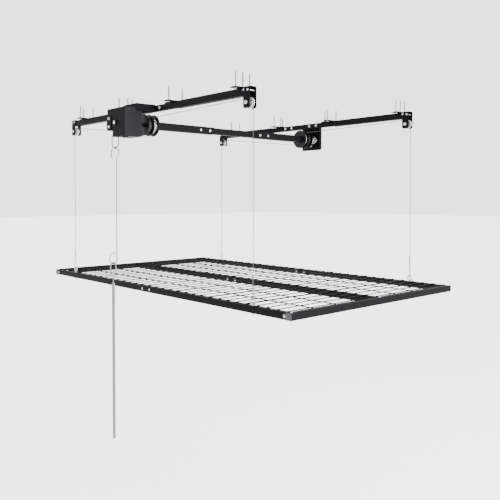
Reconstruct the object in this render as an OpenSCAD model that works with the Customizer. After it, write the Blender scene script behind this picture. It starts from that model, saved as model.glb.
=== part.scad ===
/* [Ceiling frame] */
// Distance between the centre lines of the two long rails
rail_gap = 1188; // [1180:2:1200]
// Length of each long rail, end to end
rail_length = 1600; // [1590:2:1610]
// Outside width of the square tube at the ends of a rail
rail_w = 35; // [35:1:36]
// Outside width of the square tube in the middle of a rail
mid_rail_w = 30; // [29:0.5:30]
// Distance from the middle of a rail to each of its two tube joints
rail_joint_x = 277; // [270:1:284]
// Thickness of the plates that lie against the ceiling
plate_t = 4; // [3:0.5:5]
// Distance from the middle to each inner ceiling screw of a rail
inner_screw_x = 196; // [190:1:200]
// Radius of the shank of a ceiling screw
lag_r = 4; // [3.5:0.5:4.5]
// How far a ceiling screw stands above the ceiling line
lag_rise = 72; // [60:1:90]

/* [Pulleys] */
// Distance from the middle of a rail to each pulley axle
pulley_x = 803; // [802:0.5:804]
// Height of the pulley axles, measured from the ceiling line
pulley_z = -70; // [-74:1:-70]
// Radius of the cable's centre line on a pulley
pulley_r = 22; // [20:0.5:22]
// Width of the side plates that hold a pulley
clevis_w = 42; // [42:1:44]

/* [Drive] */
// Distance of the drive shaft from the middle of the frame
shaft_x = 8; // [6:1:10]
// Height of the drive shaft, measured from the ceiling line
shaft_z = -101; // [-104:1:-101]
// Radius of the cable's centre line on a drum
drum_r = 40; // [38:0.5:41]
// Radius of the drum's side flanges
flange_r = 57; // [52:1:57]
// Outside width of the square tubes that carry the drums
sleeve_w = 40; // [38:1:40]
// Number of teeth on the worm wheel
wheel_teeth = 40; // [40:1:40]

/* [Crank] */
// Distance of the worm from the middle of the frame, to the left
worm_x = -38; // [-38:1:-38]
// Height of the lowest point of the input eye
eye_bottom_z = -231; // [-236:1:-228]
// Height of the top of the lower ring on the crank rod
ring_top_z = -762; // [-780:1:-750]
// Height of the lower end of the crank pole
pole_bottom_z = -1726; // [-1800:1:-1600]
// Radius of the crank pole's tube
pole_r = 8; // [7:0.5:9]

/* [Platform] */
// Length of the platform, along the rails
deck_length = 2140; // [2140:1:2140]
// Depth of the platform, across the rails
deck_depth = 1219; // [1219:1:1221]
// Height of the underside of the platform, measured from the ceiling line
deck_z = -980; // [-990:1:-970]
// Outside width of the platform's square tubes
tube_w = 31.7; // [31.7:0.1:32]
// Radius of the deck wires
wire_r = 2.5; // [2:0.25:3]
// Radius of the lifting cables
cable_r = 1.75; // [1.5:0.25:1.75]

/* [Hidden] */
$fn = 48;
wire_sides = 10;
arc_steps = 12;
rail_y = rail_gap / 2;
tube_wall = 2;
rail_z = -plate_t - rail_w / 2;
mid_plate_t = -rail_z - mid_rail_w / 2;
mid_rail_overlap = 90;
access_hole_r = 11;
screw_hole_r = lag_r + 0.5;
head_h = 5.3;
head_af = 13;
flange_screw_y = 41;
flange_half_y = 60;
flange_half_x = 20;
saddle_pair_x = [-667, -220, 253, 757];
saddle_rail_x = [-709, -inner_screw_x, inner_screw_x, 757];

clevis_t = 3;
clevis_x1 = pulley_x + 21;
clevis_x0 = clevis_x1 - clevis_w;
clevis_bottom_z = -95;
clevis_corner = 12;
axle_r = 5;
axle_clear = 0.05;
pulley_half_w = 6;
drop_x = pulley_x + pulley_r;
clevis_bolt_r = 3;
rail_bolt_x = [-136, -78, 78, 136];
lag_start_z = 0.2;
cable_gap = 0.2;

drum_half = 32;
flange_t = 3;
core_r = 34;
winding_y = drum_half / 2;
winding_r = drum_r - cable_r - 0.25;
winding_half = drum_half / 2 - flange_t / 2 - 0.5;
inner_tube_w = sleeve_w - 2 * tube_wall - 1;
sleeve_end_y = 165;
sleeve_lap = 110;
journal_r = 10;
drum_face_y = drum_half + flange_t / 2;

case_x0 = shaft_x - 84;
case_x1 = shaft_x + 84;
case_front_y = -790;
case_rear_y = -688;
case_top_z = -27;
case_bottom_z = -173;
notch_x = -23;
notch_z = -137;
pocket_x = -11;
case_wall = 3;
lug_w = 46;
lug_bolt_x = case_x0 + 28;
worm_y = -766;
worm_gap = shaft_x - worm_x;
wheel_r = 34.3;
worm_r = worm_gap - wheel_r - 0.7;
tooth = 1.4;
tooth_pitch = 2 * PI * (wheel_r + 0.35) / wheel_teeth;
worm_half = 20;
worm_shaft_r = 5;
bush_wall = 4;
back_plate_y = 680;
flange_x = 115;
bearing_bolt_gap = 38;

eye_half_w = 20;
eye_wire_r = 2.5;
eye_turn = 22;
eye_top_z = -144;
eye_side_top_z = -156;
eye_side_low_z = -212;
eye_low_z = eye_bottom_z + eye_wire_r;
rod_r = 3;
hook_r = 21;
pole_hook_r = 27;
hook_top_z = eye_low_z + eye_wire_r + rod_r + 0.8;
hook_free_z = -280;
ring_low_z = ring_top_z - 62;
rod_shift = 7;
ring_y = rod_shift - hook_r;
ring_gap_angle = 50;
pole_hook_z = ring_low_z + 3 * rod_r + 0.4;
pole_hook_free_z = -882;
pole_top_z = -920;

tube_z = deck_z + tube_w / 2;
tube_top_z = deck_z + tube_w;
long_y = (deck_depth - tube_w) / 2;
side_x = (deck_length - tube_w) / 2;
deck_wall = 1.6;
joiner_w = tube_w - 2 * deck_wall - 0.6;
panel_pitch = 260.5;
wire_pitch = 63;
cross_pitch = long_y / 4;
eye_bolt_r = 4;
eye_bolt_ring = 12.5;
eye_bolt_wire = 3.5;
eye_bolt_z = tube_top_z + 18;
clamp_top_z = tube_top_z + 141;
clamp_h = 8;
deck_screw_r = 2.5;
joint_screw_x = 34;
corner_screw_x = side_x - 24;
cable_loop_r = 6;

// ---------- shared shapes ----------

// A box given by its two corners
module block(low, high) {
  translate(low)
    cube(high - low);
}

// A round bar from one point to another
module rod(a, b, r) {
  v = b - a;
  len = norm(v);
  translate(a)
    rotate([0, acos(v[2] / len), atan2(v[1], v[0])])
      cylinder(h = len, r = r);
}

// A vector's direction
function unit(v) = v / norm(v);

// Direction of a path at point i, halfway between the stretches that meet there
function heading(p, i) =
  unit((i > 0 ? unit(p[i] - p[i - 1]) : [0, 0, 0]) + (i < len(p) - 1 ? unit(p[i + 1] - p[i]) : [0, 0, 0]));

// A ring of points around point i of a path, widened at a bend so that the wire keeps its thickness
function wire_ring(p, i, side, r) =
  let(t = heading(p, i), a = unit(side - (side * t) * t), b = cross(t, a),
      leg = unit(i < len(p) - 1 ? p[i + 1] - p[i] : p[i] - p[i - 1]), wide = r / (t * leg))
  [for (k = [0 : wire_sides - 1])
    p[i] + r * cos(360 * k / wire_sides) * a + wide * sin(360 * k / wire_sides) * b];

// Points of an arc in the YZ plane, from angle a0 to a1
function arc_yz(y, z, r, a0, a1) =
  [for (k = [0 : arc_steps]) let(a = a0 + (a1 - a0) * k / arc_steps) [0, y + r * cos(a), z + r * sin(a)]];

// Points of an arc in the XZ plane, from angle a0 to a1
function arc_xz(x, z, r, a0, a1) = [for (q = arc_yz(x, z, r, a0, a1)) [q[1], 0, q[2]]];

// A bent wire along a path; side is a direction across the plane that the path bends in
module wire(points, r, side) {
  n = wire_sides;
  last = len(points) - 1;
  polyhedron(
    points = [for (i = [0 : last]) each wire_ring(points, i, side, r)],
    faces = concat(
      [[for (k = [0 : n - 1]) k], [for (k = [n - 1 : -1 : 0]) last * n + k]],
      [for (i = [0 : last - 1], k = [0 : n - 1]) [i * n + k, (i + 1) * n + k, (i + 1) * n + (k + 1) % n]],
      [for (i = [0 : last - 1], k = [0 : n - 1]) [i * n + k, (i + 1) * n + (k + 1) % n, i * n + (k + 1) % n]]
    ),
    convexity = 6
  );
}

// A square tube along X
module tube_x(x0, x1, y, z, w, wall) {
  difference() {
    block([x0, y - w / 2, z - w / 2], [x1, y + w / 2, z + w / 2]);
    block([x0 - 1, y - w / 2 + wall, z - w / 2 + wall], [x1 + 1, y + w / 2 - wall, z + w / 2 - wall]);
  }
}

// A square tube along Y
module tube_y(y0, y1, x, z, w, wall) {
  difference() {
    block([x - w / 2, y0, z - w / 2], [x + w / 2, y1, z + w / 2]);
    block([x - w / 2 + wall, y0 - 1, z - w / 2 + wall], [x + w / 2 - wall, y1 + 1, z + w / 2 - wall]);
  }
}

// A hexagon head or nut, axis along Z, standing on the origin
module hex(af, h) {
  cylinder(h = h, r = af / (2 * cos(30)), $fn = 6);
}

// A bolt along Y through y0 to y1, head on the low side and nut on the high side
module bolt_y(x, y0, y1, z, r, af) {
  translate([x, y0, z])
    rotate([90, 0, 0])
      hex(af, r * 1.3);
  rod([x, y0, z], [x, y1 + r * 2, z], r);
  translate([x, y1, z])
    rotate([-90, 0, 0])
      hex(af, r * 1.6);
}

// ---------- ceiling frame ----------

// The end part of a rail, on one side (-1 left, 1 right)
module rail_end(side, y) {
  screw_x = abs(side < 0 ? saddle_rail_x[0] : saddle_rail_x[3]);
  color([0.16, 0.16, 0.17])
    difference() {
      tube_x(side < 0 ? -rail_length / 2 : rail_joint_x,
        side < 0 ? -rail_joint_x : rail_length / 2, y, rail_z, rail_w, tube_wall);
      translate([side * screw_x, y, rail_z])
        cylinder(h = rail_w, r = screw_hole_r);
      translate([side * screw_x, y, rail_z - rail_w])
        cylinder(h = rail_w, r = access_hole_r);
      rod([side * (clevis_x0 + 5), y - rail_w, -14], [side * (clevis_x0 + 5), y + rail_w, -14], clevis_bolt_r + 0.2);
    }
}

// The middle part of a rail, which slides into both end parts
module rail_middle(y) {
  reach = rail_joint_x + mid_rail_overlap;
  color([0.14, 0.14, 0.15])
    difference() {
      tube_x(-reach, reach, y, rail_z, mid_rail_w, tube_wall);
      for (side = [-1, 1]) {
        translate([side * inner_screw_x, y, rail_z])
          cylinder(h = mid_rail_w, r = screw_hole_r);
        translate([side * inner_screw_x, y, rail_z - mid_rail_w])
          cylinder(h = mid_rail_w, r = access_hole_r);
      }
      for (x = rail_bolt_x)
        rod([x, y - mid_rail_w, rail_z], [x, y + mid_rail_w, rail_z], 4.2);
    }
}

// A flat plate over the rail with a screw hole in each of its two wings and one over the rail
module saddle(pair_x, rail_screw_x, y, t) {
  low = min(pair_x, rail_screw_x) - flange_half_x;
  high = max(pair_x, rail_screw_x) + flange_half_x;
  color([0.16, 0.16, 0.17])
    difference() {
      union() {
        block([pair_x - flange_half_x, y - flange_half_y, -plate_t], [pair_x + flange_half_x, y + flange_half_y, 0]);
        block([low, y - mid_rail_w / 2, -t], [high, y + mid_rail_w / 2, 0]);
      }
      for (side = [-1, 1])
        translate([pair_x, y + side * flange_screw_y, -plate_t - 1])
          cylinder(h = plate_t + 2, r = screw_hole_r);
      translate([rail_screw_x, y, -t - 1])
        cylinder(h = t + 2, r = screw_hole_r);
    }
}

module saddles(y) {
  for (i = [0 : 3])
    saddle(saddle_pair_x[i], saddle_rail_x[i], y, i == 0 || i == 3 ? plate_t : mid_plate_t);
}

// One ceiling screw with its head's top face at the given height
module lag_screw(x, y, seat_z) {
  translate([x, y, seat_z - head_h])
    hex(head_af, head_h);
  translate([x, y, seat_z - 1])
    cylinder(h = 1.5 - seat_z, r = lag_r - 0.2);
  translate([x, y, lag_start_z])
    cylinder(h = lag_rise - 10 - lag_start_z, r = lag_r);
  translate([x, y, lag_rise - 10])
    cylinder(h = 10, r1 = lag_r, r2 = 0.8);
}

module lag_screws() {
  color([0.75, 0.76, 0.78])
    for (y = [-rail_y, rail_y], i = [0 : 3]) {
      mid = i == 1 || i == 2;
      lag_screw(saddle_pair_x[i], y - flange_screw_y, -plate_t);
      lag_screw(saddle_pair_x[i], y + flange_screw_y, -plate_t);
      lag_screw(saddle_rail_x[i], y, (mid ? -mid_plate_t : -plate_t) - tube_wall);
    }
}

// Bolts across the middle of each rail
module rail_bolts() {
  color([0.75, 0.76, 0.78])
    for (side = [-1, 1], x = rail_bolt_x) {
      plate = abs(x) < 100 ? clevis_t : 0;
      bolt_y(x, side * rail_y - mid_rail_w / 2 - (side < 0 ? plate : 0),
        side * rail_y + mid_rail_w / 2 + (side > 0 ? plate : 0), rail_z, 4, 13);
    }
}

// The fork that holds a pulley: a top bridge and two side plates with round lower corners
module clevis(side, y) {
  x0 = side < 0 ? -clevis_x1 : clevis_x0;
  x1 = side < 0 ? -clevis_x0 : clevis_x1;
  half = rail_w / 2 + clevis_t;
  color([0.13, 0.13, 0.14])
    difference() {
      union() {
        block([x0, y - half, -plate_t], [x1, y + half, -plate_t + clevis_t]);
        for (s = [-1, 1])
          translate([0, y + s * (rail_w + clevis_t) / 2 + clevis_t / 2, 0])
            rotate([90, 0, 0])
              linear_extrude(height = clevis_t)
                union() {
                  translate([x0, clevis_bottom_z + clevis_corner])
                    square([x1 - x0, -plate_t + clevis_t - clevis_bottom_z - clevis_corner]);
                  translate([x0 + clevis_corner, clevis_bottom_z])
                    square([x1 - x0 - 2 * clevis_corner, 2 * clevis_corner]);
                  for (x = [x0 + clevis_corner, x1 - clevis_corner])
                    translate([x, clevis_bottom_z + clevis_corner])
                      circle(r = clevis_corner);
                }
      }
      rod([side * pulley_x, y - half - 1, pulley_z], [side * pulley_x, y + half + 1, pulley_z], axle_r);
      for (p = [[clevis_x0 + 5, -14], [clevis_x1 - 11, -17]])
        rod([side * p[0], y - half - 1, p[1]], [side * p[0], y + half + 1, p[1]], clevis_bolt_r);
    }
}

// The bolts that the pulleys turn on
module pulley_axles() {
  half = rail_w / 2 + clevis_t;
  color([0.75, 0.76, 0.78])
    for (side = [-1, 1], y = [-rail_y, rail_y])
      bolt_y(side * pulley_x, y - half, y + half, pulley_z, axle_r, 16);
}

// Two small bolts at the top of each fork
module clevis_bolts() {
  half = rail_w / 2 + clevis_t;
  color([0.75, 0.76, 0.78])
    for (side = [-1, 1], y = [-rail_y, rail_y], p = [[clevis_x0 + 5, -14], [clevis_x1 - 11, -17]])
      bolt_y(side * p[0], y - half, y + half, p[1], clevis_bolt_r, 10);
}

// A grooved wheel on a fork's axle
module pulley(side, y) {
  color([0.86, 0.87, 0.88])
    translate([side * pulley_x, y, pulley_z])
      rotate([90, 0, 0])
        rotate_extrude($fn = 64)
          polygon([
            [axle_r + axle_clear, -pulley_half_w - 3], [9, -pulley_half_w - 3], [9, -pulley_half_w],
            [pulley_r + 3, -pulley_half_w], [pulley_r + 3, -pulley_half_w + 1.5],
            [pulley_r - cable_r - 0.25, -1.6], [pulley_r - cable_r - 0.25, 1.6],
            [pulley_r + 3, pulley_half_w - 1.5], [pulley_r + 3, pulley_half_w],
            [9, pulley_half_w], [9, pulley_half_w + 3], [axle_r + axle_clear, pulley_half_w + 3]
          ]);
}

// ---------- drive unit ----------

// The bent plate that hangs the gear case from the front rail
module front_hanger() {
  x0 = -32;
  front_y = -721;
  rail_face = -rail_y - mid_rail_w / 2;
  color([0.13, 0.13, 0.14])
    difference() {
      union() {
        block([x0, front_y, -plate_t - clevis_t], [case_x1 + clevis_t, rail_face, -plate_t]);
        block([case_x1, front_y, -42], [case_x1 + clevis_t, rail_face, -plate_t]);
        block([x0, front_y, case_top_z], [x0 + clevis_t, rail_face, -plate_t]);
        block([x0, front_y, case_top_z], [case_x1 + clevis_t, front_y + clevis_t, -plate_t]);
        block([-flange_x, rail_face - clevis_t, -35], [flange_x, rail_face, -plate_t]);
      }
      for (i = [1, 2])
        rod([rail_bolt_x[i], rail_face - 5, rail_z], [rail_bolt_x[i], rail_face + 5, rail_z], 4);
    }
}

// The case's outline in the XZ plane, grown inwards by inset
module case_outline(inset) {
  polygon([
    [case_x0 + inset, notch_z + inset], [pocket_x + inset, notch_z + inset],
    [pocket_x + inset, case_bottom_z + inset], [case_x1 - inset, case_bottom_z + inset],
    [case_x1 - inset, case_top_z - inset], [case_x0 + inset, case_top_z - inset]
  ]);
}

// An outline in the XZ plane given a thickness from y0 to y1
module upright(y0, y1) {
  translate([0, y1, 0])
    rotate([90, 0, 0])
      linear_extrude(height = y1 - y0)
        children();
}

// The rear shell of the gear case, open at the front
module gear_case() {
  color([0.24, 0.24, 0.26])
    difference() {
      upright(case_front_y + case_wall, case_rear_y)
        case_outline(0);
      upright(case_front_y, case_rear_y - case_wall)
        case_outline(case_wall);
      rod([shaft_x, case_rear_y - 10, shaft_z], [shaft_x, case_rear_y + 10, shaft_z], journal_r + bush_wall);
      translate([worm_x, worm_y, notch_z - 5])
        cylinder(h = 20, r = worm_shaft_r + bush_wall);
    }
}

// The front cover plate, cut away at its lower left corner
module gear_cover() {
  color([0.15, 0.15, 0.16])
    difference() {
      union() {
        upright(case_front_y, case_front_y + case_wall)
          polygon([
            [case_x0, notch_z + 10], [case_x0 + 10, notch_z], [notch_x, notch_z], [notch_x, case_bottom_z + 8],
            [notch_x + 8, case_bottom_z], [case_x1, case_bottom_z], [case_x1, case_top_z], [case_x0, case_top_z]
          ]);
        upright(case_front_y - 4, case_front_y)
          union() {
            translate([case_x0, -121])
              square([lug_w, 57]);
            translate([case_x0 + 12, -133])
              square([lug_w - 24, 20]);
            for (x = [case_x0 + 12, case_x0 + lug_w - 12])
              translate([x, -121])
                circle(r = 12);
          }
      }
      rod([shaft_x, case_front_y - 5, shaft_z], [shaft_x, case_front_y + 5, shaft_z], journal_r + bush_wall);
      for (z = [-77, -118])
        rod([lug_bolt_x, case_front_y - 9, z], [lug_bolt_x, case_front_y + 9, z], 4);
    }
}

// A plain bush along Y with a collar at its low end
module bush_y(y0, y1, collar) {
  difference() {
    union() {
      rod([shaft_x, y0, shaft_z], [shaft_x, y1, shaft_z], journal_r + bush_wall);
      rod([shaft_x, collar, shaft_z], [shaft_x, collar + 3, shaft_z], journal_r + bush_wall + 4);
    }
    rod([shaft_x, y0 - 9, shaft_z], [shaft_x, y1 + 9, shaft_z], journal_r + axle_clear);
  }
}

// The three bushes that the drive shaft turns in
module shaft_bushes() {
  color([0.7, 0.5, 0.25]) {
    bush_y(case_front_y, case_front_y + 6, case_front_y + 3);
    bush_y(case_rear_y - 6, case_rear_y, case_rear_y - 6);
    bush_y(back_plate_y - 5, back_plate_y + 2, back_plate_y - 5);
  }
}

// The two bushes that the worm turns in
module worm_bushes() {
  color([0.7, 0.5, 0.25])
    for (z = [case_top_z - case_wall - 8, notch_z])
      translate([worm_x, worm_y, z])
        difference() {
          cylinder(h = 8, r = worm_shaft_r + bush_wall);
          translate([0, 0, -1])
            cylinder(h = 10, r = worm_shaft_r + axle_clear);
        }
}

// The two lug bolts on the cover and two bolts on the hanger's side
module case_bolts() {
  color([0.75, 0.76, 0.78]) {
    for (z = [-77, -118])
      bolt_y(lug_bolt_x, case_front_y - 4, case_front_y + case_wall, z, 4, 13);
    for (y = [-712, -698])
      translate([case_x1 + clevis_t, y, -36])
        rotate([0, 90, 0])
          hex(8, 3);
  }
}

// The plate that carries the far end of the drive shaft
module back_bearing_plate() {
  rail_face = rail_y + mid_rail_w / 2;
  half = clevis_t / 2;
  color([0.2, 0.2, 0.22])
    difference() {
      union() {
        block([case_x0, rail_face, -plate_t - clevis_t], [case_x1, back_plate_y + half, -plate_t]);
        block([-flange_x, rail_face, -35], [flange_x, rail_face + clevis_t, -plate_t]);
        block([case_x0, back_plate_y - half, -168], [case_x1, back_plate_y + half, -plate_t]);
        block([case_x1 - clevis_t, back_plate_y - 18, -168], [case_x1, back_plate_y + half, -plate_t]);
      }
      rod([shaft_x, back_plate_y - 9, shaft_z], [shaft_x, back_plate_y + 9, shaft_z], journal_r + bush_wall);
      for (i = [1, 2])
        rod([rail_bolt_x[i], rail_face - 5, rail_z], [rail_bolt_x[i], rail_face + 5, rail_z], 4);
      for (side = [-1, 1])
        rod([shaft_x, back_plate_y - 9, shaft_z + side * bearing_bolt_gap],
          [shaft_x, back_plate_y + 9, shaft_z + side * bearing_bolt_gap], 4);
    }
}

// The oval two-bolt housing that holds the far bush against its plate
module back_bearing_housing() {
  face = back_plate_y - clevis_t / 2;
  color([0.75, 0.76, 0.78])
    difference() {
      union() {
        upright(face - 5, face)
          translate([shaft_x, shaft_z])
            hull() {
              circle(r = 26);
              for (side = [-1, 1])
                translate([0, side * bearing_bolt_gap])
                  circle(r = 10);
            }
        upright(face - 14, face)
          translate([shaft_x, shaft_z])
            circle(r = 22);
      }
      rod([shaft_x, face - 20, shaft_z], [shaft_x, face - 2, shaft_z], journal_r + 1);
      rod([shaft_x, face - 5, shaft_z], [shaft_x, face + 1, shaft_z], journal_r + bush_wall + 4.5);
      for (side = [-1, 1])
        rod([shaft_x, face - 9, shaft_z + side * bearing_bolt_gap],
          [shaft_x, face + 1, shaft_z + side * bearing_bolt_gap], 4);
    }
}

// The two screws of that housing
module bearing_screws() {
  face = back_plate_y - clevis_t / 2;
  color([0.75, 0.76, 0.78])
    for (side = [-1, 1]) {
      translate([shaft_x, face - 5, shaft_z + side * bearing_bolt_gap])
        rotate([90, 0, 0])
          hex(13, 5);
      rod([shaft_x, face - 5, shaft_z + side * bearing_bolt_gap],
        [shaft_x, face + clevis_t, shaft_z + side * bearing_bolt_gap], 4);
    }
}

// The square tube between a drum and the middle of the shaft
module sleeve(side) {
  near = rail_y - drum_face_y;
  color([0.22, 0.22, 0.24])
    difference() {
      tube_y(side < 0 ? -near : sleeve_end_y, side < 0 ? -sleeve_end_y : near, shaft_x, shaft_z, sleeve_w, tube_wall);
      for (y = [195, 260])
        rod([shaft_x, side * y, shaft_z], [shaft_x + sleeve_w, side * y, shaft_z], 3);
    }
}

// The thinner square tube that joins the two sleeves
module inner_drive_tube() {
  reach = sleeve_end_y + sleeve_lap;
  color([0.2, 0.2, 0.22])
    difference() {
      tube_y(-reach, reach, shaft_x, shaft_z, inner_tube_w, tube_wall);
      for (side = [-1, 1], y = [195, 260])
        rod([shaft_x, side * y, shaft_z], [shaft_x + sleeve_w, side * y, shaft_z], 3);
    }
}

// A round journal with a square end that fills the sleeve
module journal(side, end_y) {
  near = rail_y - drum_face_y;
  half = sleeve_w / 2 - tube_wall - 0.1;
  y0 = side < 0 ? -near : near - 60;
  color([0.6, 0.61, 0.63]) {
    rod([shaft_x, side * near, shaft_z], [shaft_x, side * end_y, shaft_z], journal_r);
    block([shaft_x - half, y0, shaft_z - half], [shaft_x + half, y0 + 60, shaft_z + half]);
  }
}

// A drum with three flanges and two bays
module drum(side) {
  color([0.1, 0.1, 0.11])
    translate([shaft_x, side * rail_y, shaft_z])
      rotate([90, 0, 0])
        difference() {
          union() {
            cylinder(h = 2 * drum_face_y, r = core_r, center = true, $fn = 96);
            for (z = [-drum_half, 0, drum_half])
              translate([0, 0, z])
                cylinder(h = flange_t, r = flange_r, center = true, $fn = 96);
          }
          cylinder(h = 3 * drum_face_y, r = journal_r, center = true);
        }
}

// The wound cable in the two bays of a drum
module windings(side) {
  color([0.78, 0.79, 0.81])
    for (s = [-1, 1])
      translate([shaft_x, side * rail_y + s * winding_y, shaft_z])
        rotate([90, 0, 0])
          difference() {
            cylinder(h = 2 * winding_half, r = winding_r, center = true, $fn = 96);
            cylinder(h = 4 * winding_half, r = core_r, center = true, $fn = 96);
          }
}

// Tooth height around the wheel at a given angle
function wheel_edge(a) = wheel_r - tooth * cos(wheel_teeth * (a - 180));

// The worm wheel, with rounded teeth that follow a cosine
module worm_wheel() {
  steps = wheel_teeth * 8;
  color([0.7, 0.55, 0.3])
    difference() {
      translate([shaft_x, worm_y + 5, shaft_z])
        rotate([90, 0, 0])
          linear_extrude(height = 10)
            polygon([for (i = [0 : steps - 1])
              let(a = i * 360 / steps) [wheel_edge(a) * cos(a), wheel_edge(a) * sin(a)]]);
      rod([shaft_x, worm_y - 9, shaft_z], [shaft_x, worm_y + 9, shaft_z], journal_r);
    }
}

// Screws of the drive tube, and the nut on the shaft's front end
module drive_fasteners() {
  color([0.75, 0.76, 0.78]) {
    for (side = [-1, 1], y = [195, 260])
      translate([shaft_x + inner_tube_w / 2 - 4, side * y, shaft_z])
        rotate([0, 90, 0]) {
          cylinder(h = 8, r = 3);
          translate([0, 0, (sleeve_w - inner_tube_w) / 2 + 4])
            hex(10, 4);
        }
    translate([shaft_x, case_front_y - 0.5, shaft_z])
      rotate([90, 0, 0])
        difference() {
          hex(26, 7);
          translate([0, 0, -1])
            cylinder(h = 9, r = journal_r);
        }
  }
}

// The worm: a single round thread on a spindle
module worm_shaft() {
  color([0.62, 0.63, 0.65])
    translate([worm_x, worm_y, 0]) {
      translate([0, 0, shaft_z - worm_half])
        linear_extrude(height = 2 * worm_half, twist = -360 * 2 * worm_half / tooth_pitch,
          slices = 72, convexity = 4, $fn = 18)
          rotate([0, 0, -360 * worm_half / tooth_pitch])
            polygon([for (a = [0 : 20 : 340]) (worm_r + tooth * cos(a)) * [cos(a), sin(a)]]);
      translate([0, 0, eye_top_z])
        cylinder(h = shaft_z - worm_half + 2 - eye_top_z, r = worm_shaft_r);
      translate([0, 0, shaft_z + worm_half - 2])
        cylinder(h = case_top_z - case_wall - 1 - shaft_z - worm_half + 2, r = worm_shaft_r);
    }
}

// The wire eye that the crank hooks into
module input_eye() {
  color([0.7, 0.71, 0.73])
    translate([worm_x, worm_y, 0])
      rotate([0, 0, eye_turn]) {
        translate([0, 0, eye_top_z - 8])
          cylinder(h = 8, r = worm_shaft_r + 1);
        wire([
          [2, 0, eye_top_z - 4], [eye_half_w, 0, eye_side_top_z], [eye_half_w, 0, eye_side_low_z],
          [3, 0, eye_low_z + 1], [0, 0, eye_low_z], [-3, 0, eye_low_z + 1],
          [-eye_half_w, 0, eye_side_low_z], [-eye_half_w, 0, eye_side_top_z], [-2, 0, eye_top_z - 4]
        ], eye_wire_r, [0, 1, 0]);
      }
}

// ---------- crank ----------

// The upper crank rod: a hook, a long straight rod and an open ring, bent from one wire
module crank_rod() {
  bend_z = hook_top_z - hook_r;
  top_c = ring_top_z - rod_r - hook_r;
  low_c = ring_low_z + rod_r + hook_r;
  color([0.78, 0.79, 0.8])
    translate([worm_x, worm_y, 0])
      wire(concat(
        [[0, -hook_r, hook_free_z]],
        arc_yz(0, bend_z, hook_r, 180, 0),
        [[0, hook_r, bend_z - 6], [0, rod_shift, hook_free_z - 2]],
        arc_yz(ring_y, low_c, hook_r, 0, -180),
        arc_yz(ring_y, top_c, hook_r, 180, ring_gap_angle)
      ), rod_r, [1, 0, 0]);
}

// The lower crank pole: a hook with one slanted leg on a plain tube
module crank_pole() {
  bend_z = pole_hook_z - pole_hook_r;
  color([0.8, 0.81, 0.83])
    translate([worm_x, worm_y + ring_y, 0]) {
      wire(concat(
        [[-pole_hook_r, 0, pole_hook_free_z]],
        arc_xz(0, bend_z, pole_hook_r, 180, 0),
        [[pole_hook_r, 0, bend_z - 8], [0, 0, pole_top_z + 25], [0, 0, pole_top_z - 5]]
      ), rod_r, [0, 1, 0]);
      difference() {
        translate([0, 0, pole_bottom_z])
          cylinder(h = pole_top_z - pole_bottom_z, r = pole_r);
        translate([0, 0, pole_bottom_z - 1])
          cylinder(h = pole_top_z - 10 - pole_bottom_z, r = pole_r - 1.5);
      }
    }
}

// ---------- cables ----------

// The stretch from a drum to a pulley and over it; side is -1 left or 1 right
module rail_cable(side, row) {
  bay = side > 0 ? -row * winding_y : row * winding_y;
  from = [shaft_x, row * rail_y + bay, shaft_z + side * drum_r];
  over = [for (q = arc_xz(pulley_x, pulley_z, pulley_r, 90, 0)) [side * q[0], row * rail_y, q[2]]];
  wire(concat([from], over), cable_r, [0, 1, 0]);
}

module rail_cables(row) {
  color([0.78, 0.79, 0.81])
    for (side = [-1, 1])
      rail_cable(side, row);
}

// The hanging stretches from a rail's two pulleys to the platform's clamps
module drop_cables(row) {
  color([0.78, 0.79, 0.81])
    for (side = [-1, 1])
      translate([side * drop_x, row * rail_y, clamp_top_z])
        cylinder(h = pulley_z - cable_gap - clamp_top_z, r = cable_r, $fn = 16);
}

// The doubled end of each cable, from its clamp through the eye bolt and back
module cable_ends() {
  low = eye_bolt_z + eye_bolt_ring;
  color([0.78, 0.79, 0.81])
    for (side = [-1, 1], row = [-1, 1])
      translate([side * drop_x, row * rail_y, 0])
        wire(concat(
          [[0, -4, clamp_top_z - clamp_h]],
          arc_yz(0, low, cable_loop_r, 180, 360),
          [[0, 0, clamp_top_z - clamp_h]]
        ), cable_r, [1, 0, 0]);
}

// The pressed sleeve that holds each doubled cable
module cable_clamps() {
  color([0.6, 0.61, 0.62])
    for (side = [-1, 1], row = [-1, 1])
      translate([side * drop_x, row * rail_y - 2, clamp_top_z - clamp_h])
        block([-9, -5, 0], [9, 5, clamp_h]);
}

// ---------- platform ----------

// How far from the middle the screw of a side's wire panel stands
function panel_screw_x(i) = (i + 0.5) * panel_pitch + wire_pitch / 2;

module side_tube(side) {
  color([0.12, 0.12, 0.13])
    difference() {
      tube_y(-deck_depth / 2, deck_depth / 2, side * side_x, tube_z, tube_w, deck_wall);
      for (row = [-1, 0, 1])
        rod([side * side_x, row * long_y, tube_z], [side * side_x, row * long_y, tube_top_z + 1], deck_screw_r);
    }
}

// Half of a long tube; row is -1 front, 0 centre or 1 back
module long_tube(side, row) {
  inner = side_x - tube_w / 2;
  color([0.12, 0.12, 0.13])
    difference() {
      tube_x(side < 0 ? -inner : 0, side < 0 ? 0 : inner, row * long_y, tube_z, tube_w, deck_wall);
      if (row != 0)
        translate([side * drop_x, row * long_y, deck_z - 1])
          cylinder(h = tube_w + 2, r = eye_bolt_r);
      rod([side * joint_screw_x, row * long_y - tube_w, tube_z], [side * joint_screw_x, row * long_y, tube_z],
        deck_screw_r);
      if (row != 0) {
        for (i = [0 : 3])
          rod([side * panel_screw_x(i), row * long_y, tube_z], [side * panel_screw_x(i), row * long_y, tube_top_z + 1],
            deck_screw_r);
        rod([side * corner_screw_x, row * long_y, tube_z], [side * corner_screw_x, row * (long_y + tube_w), tube_z],
          deck_screw_r);
      }
    }
}

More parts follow.
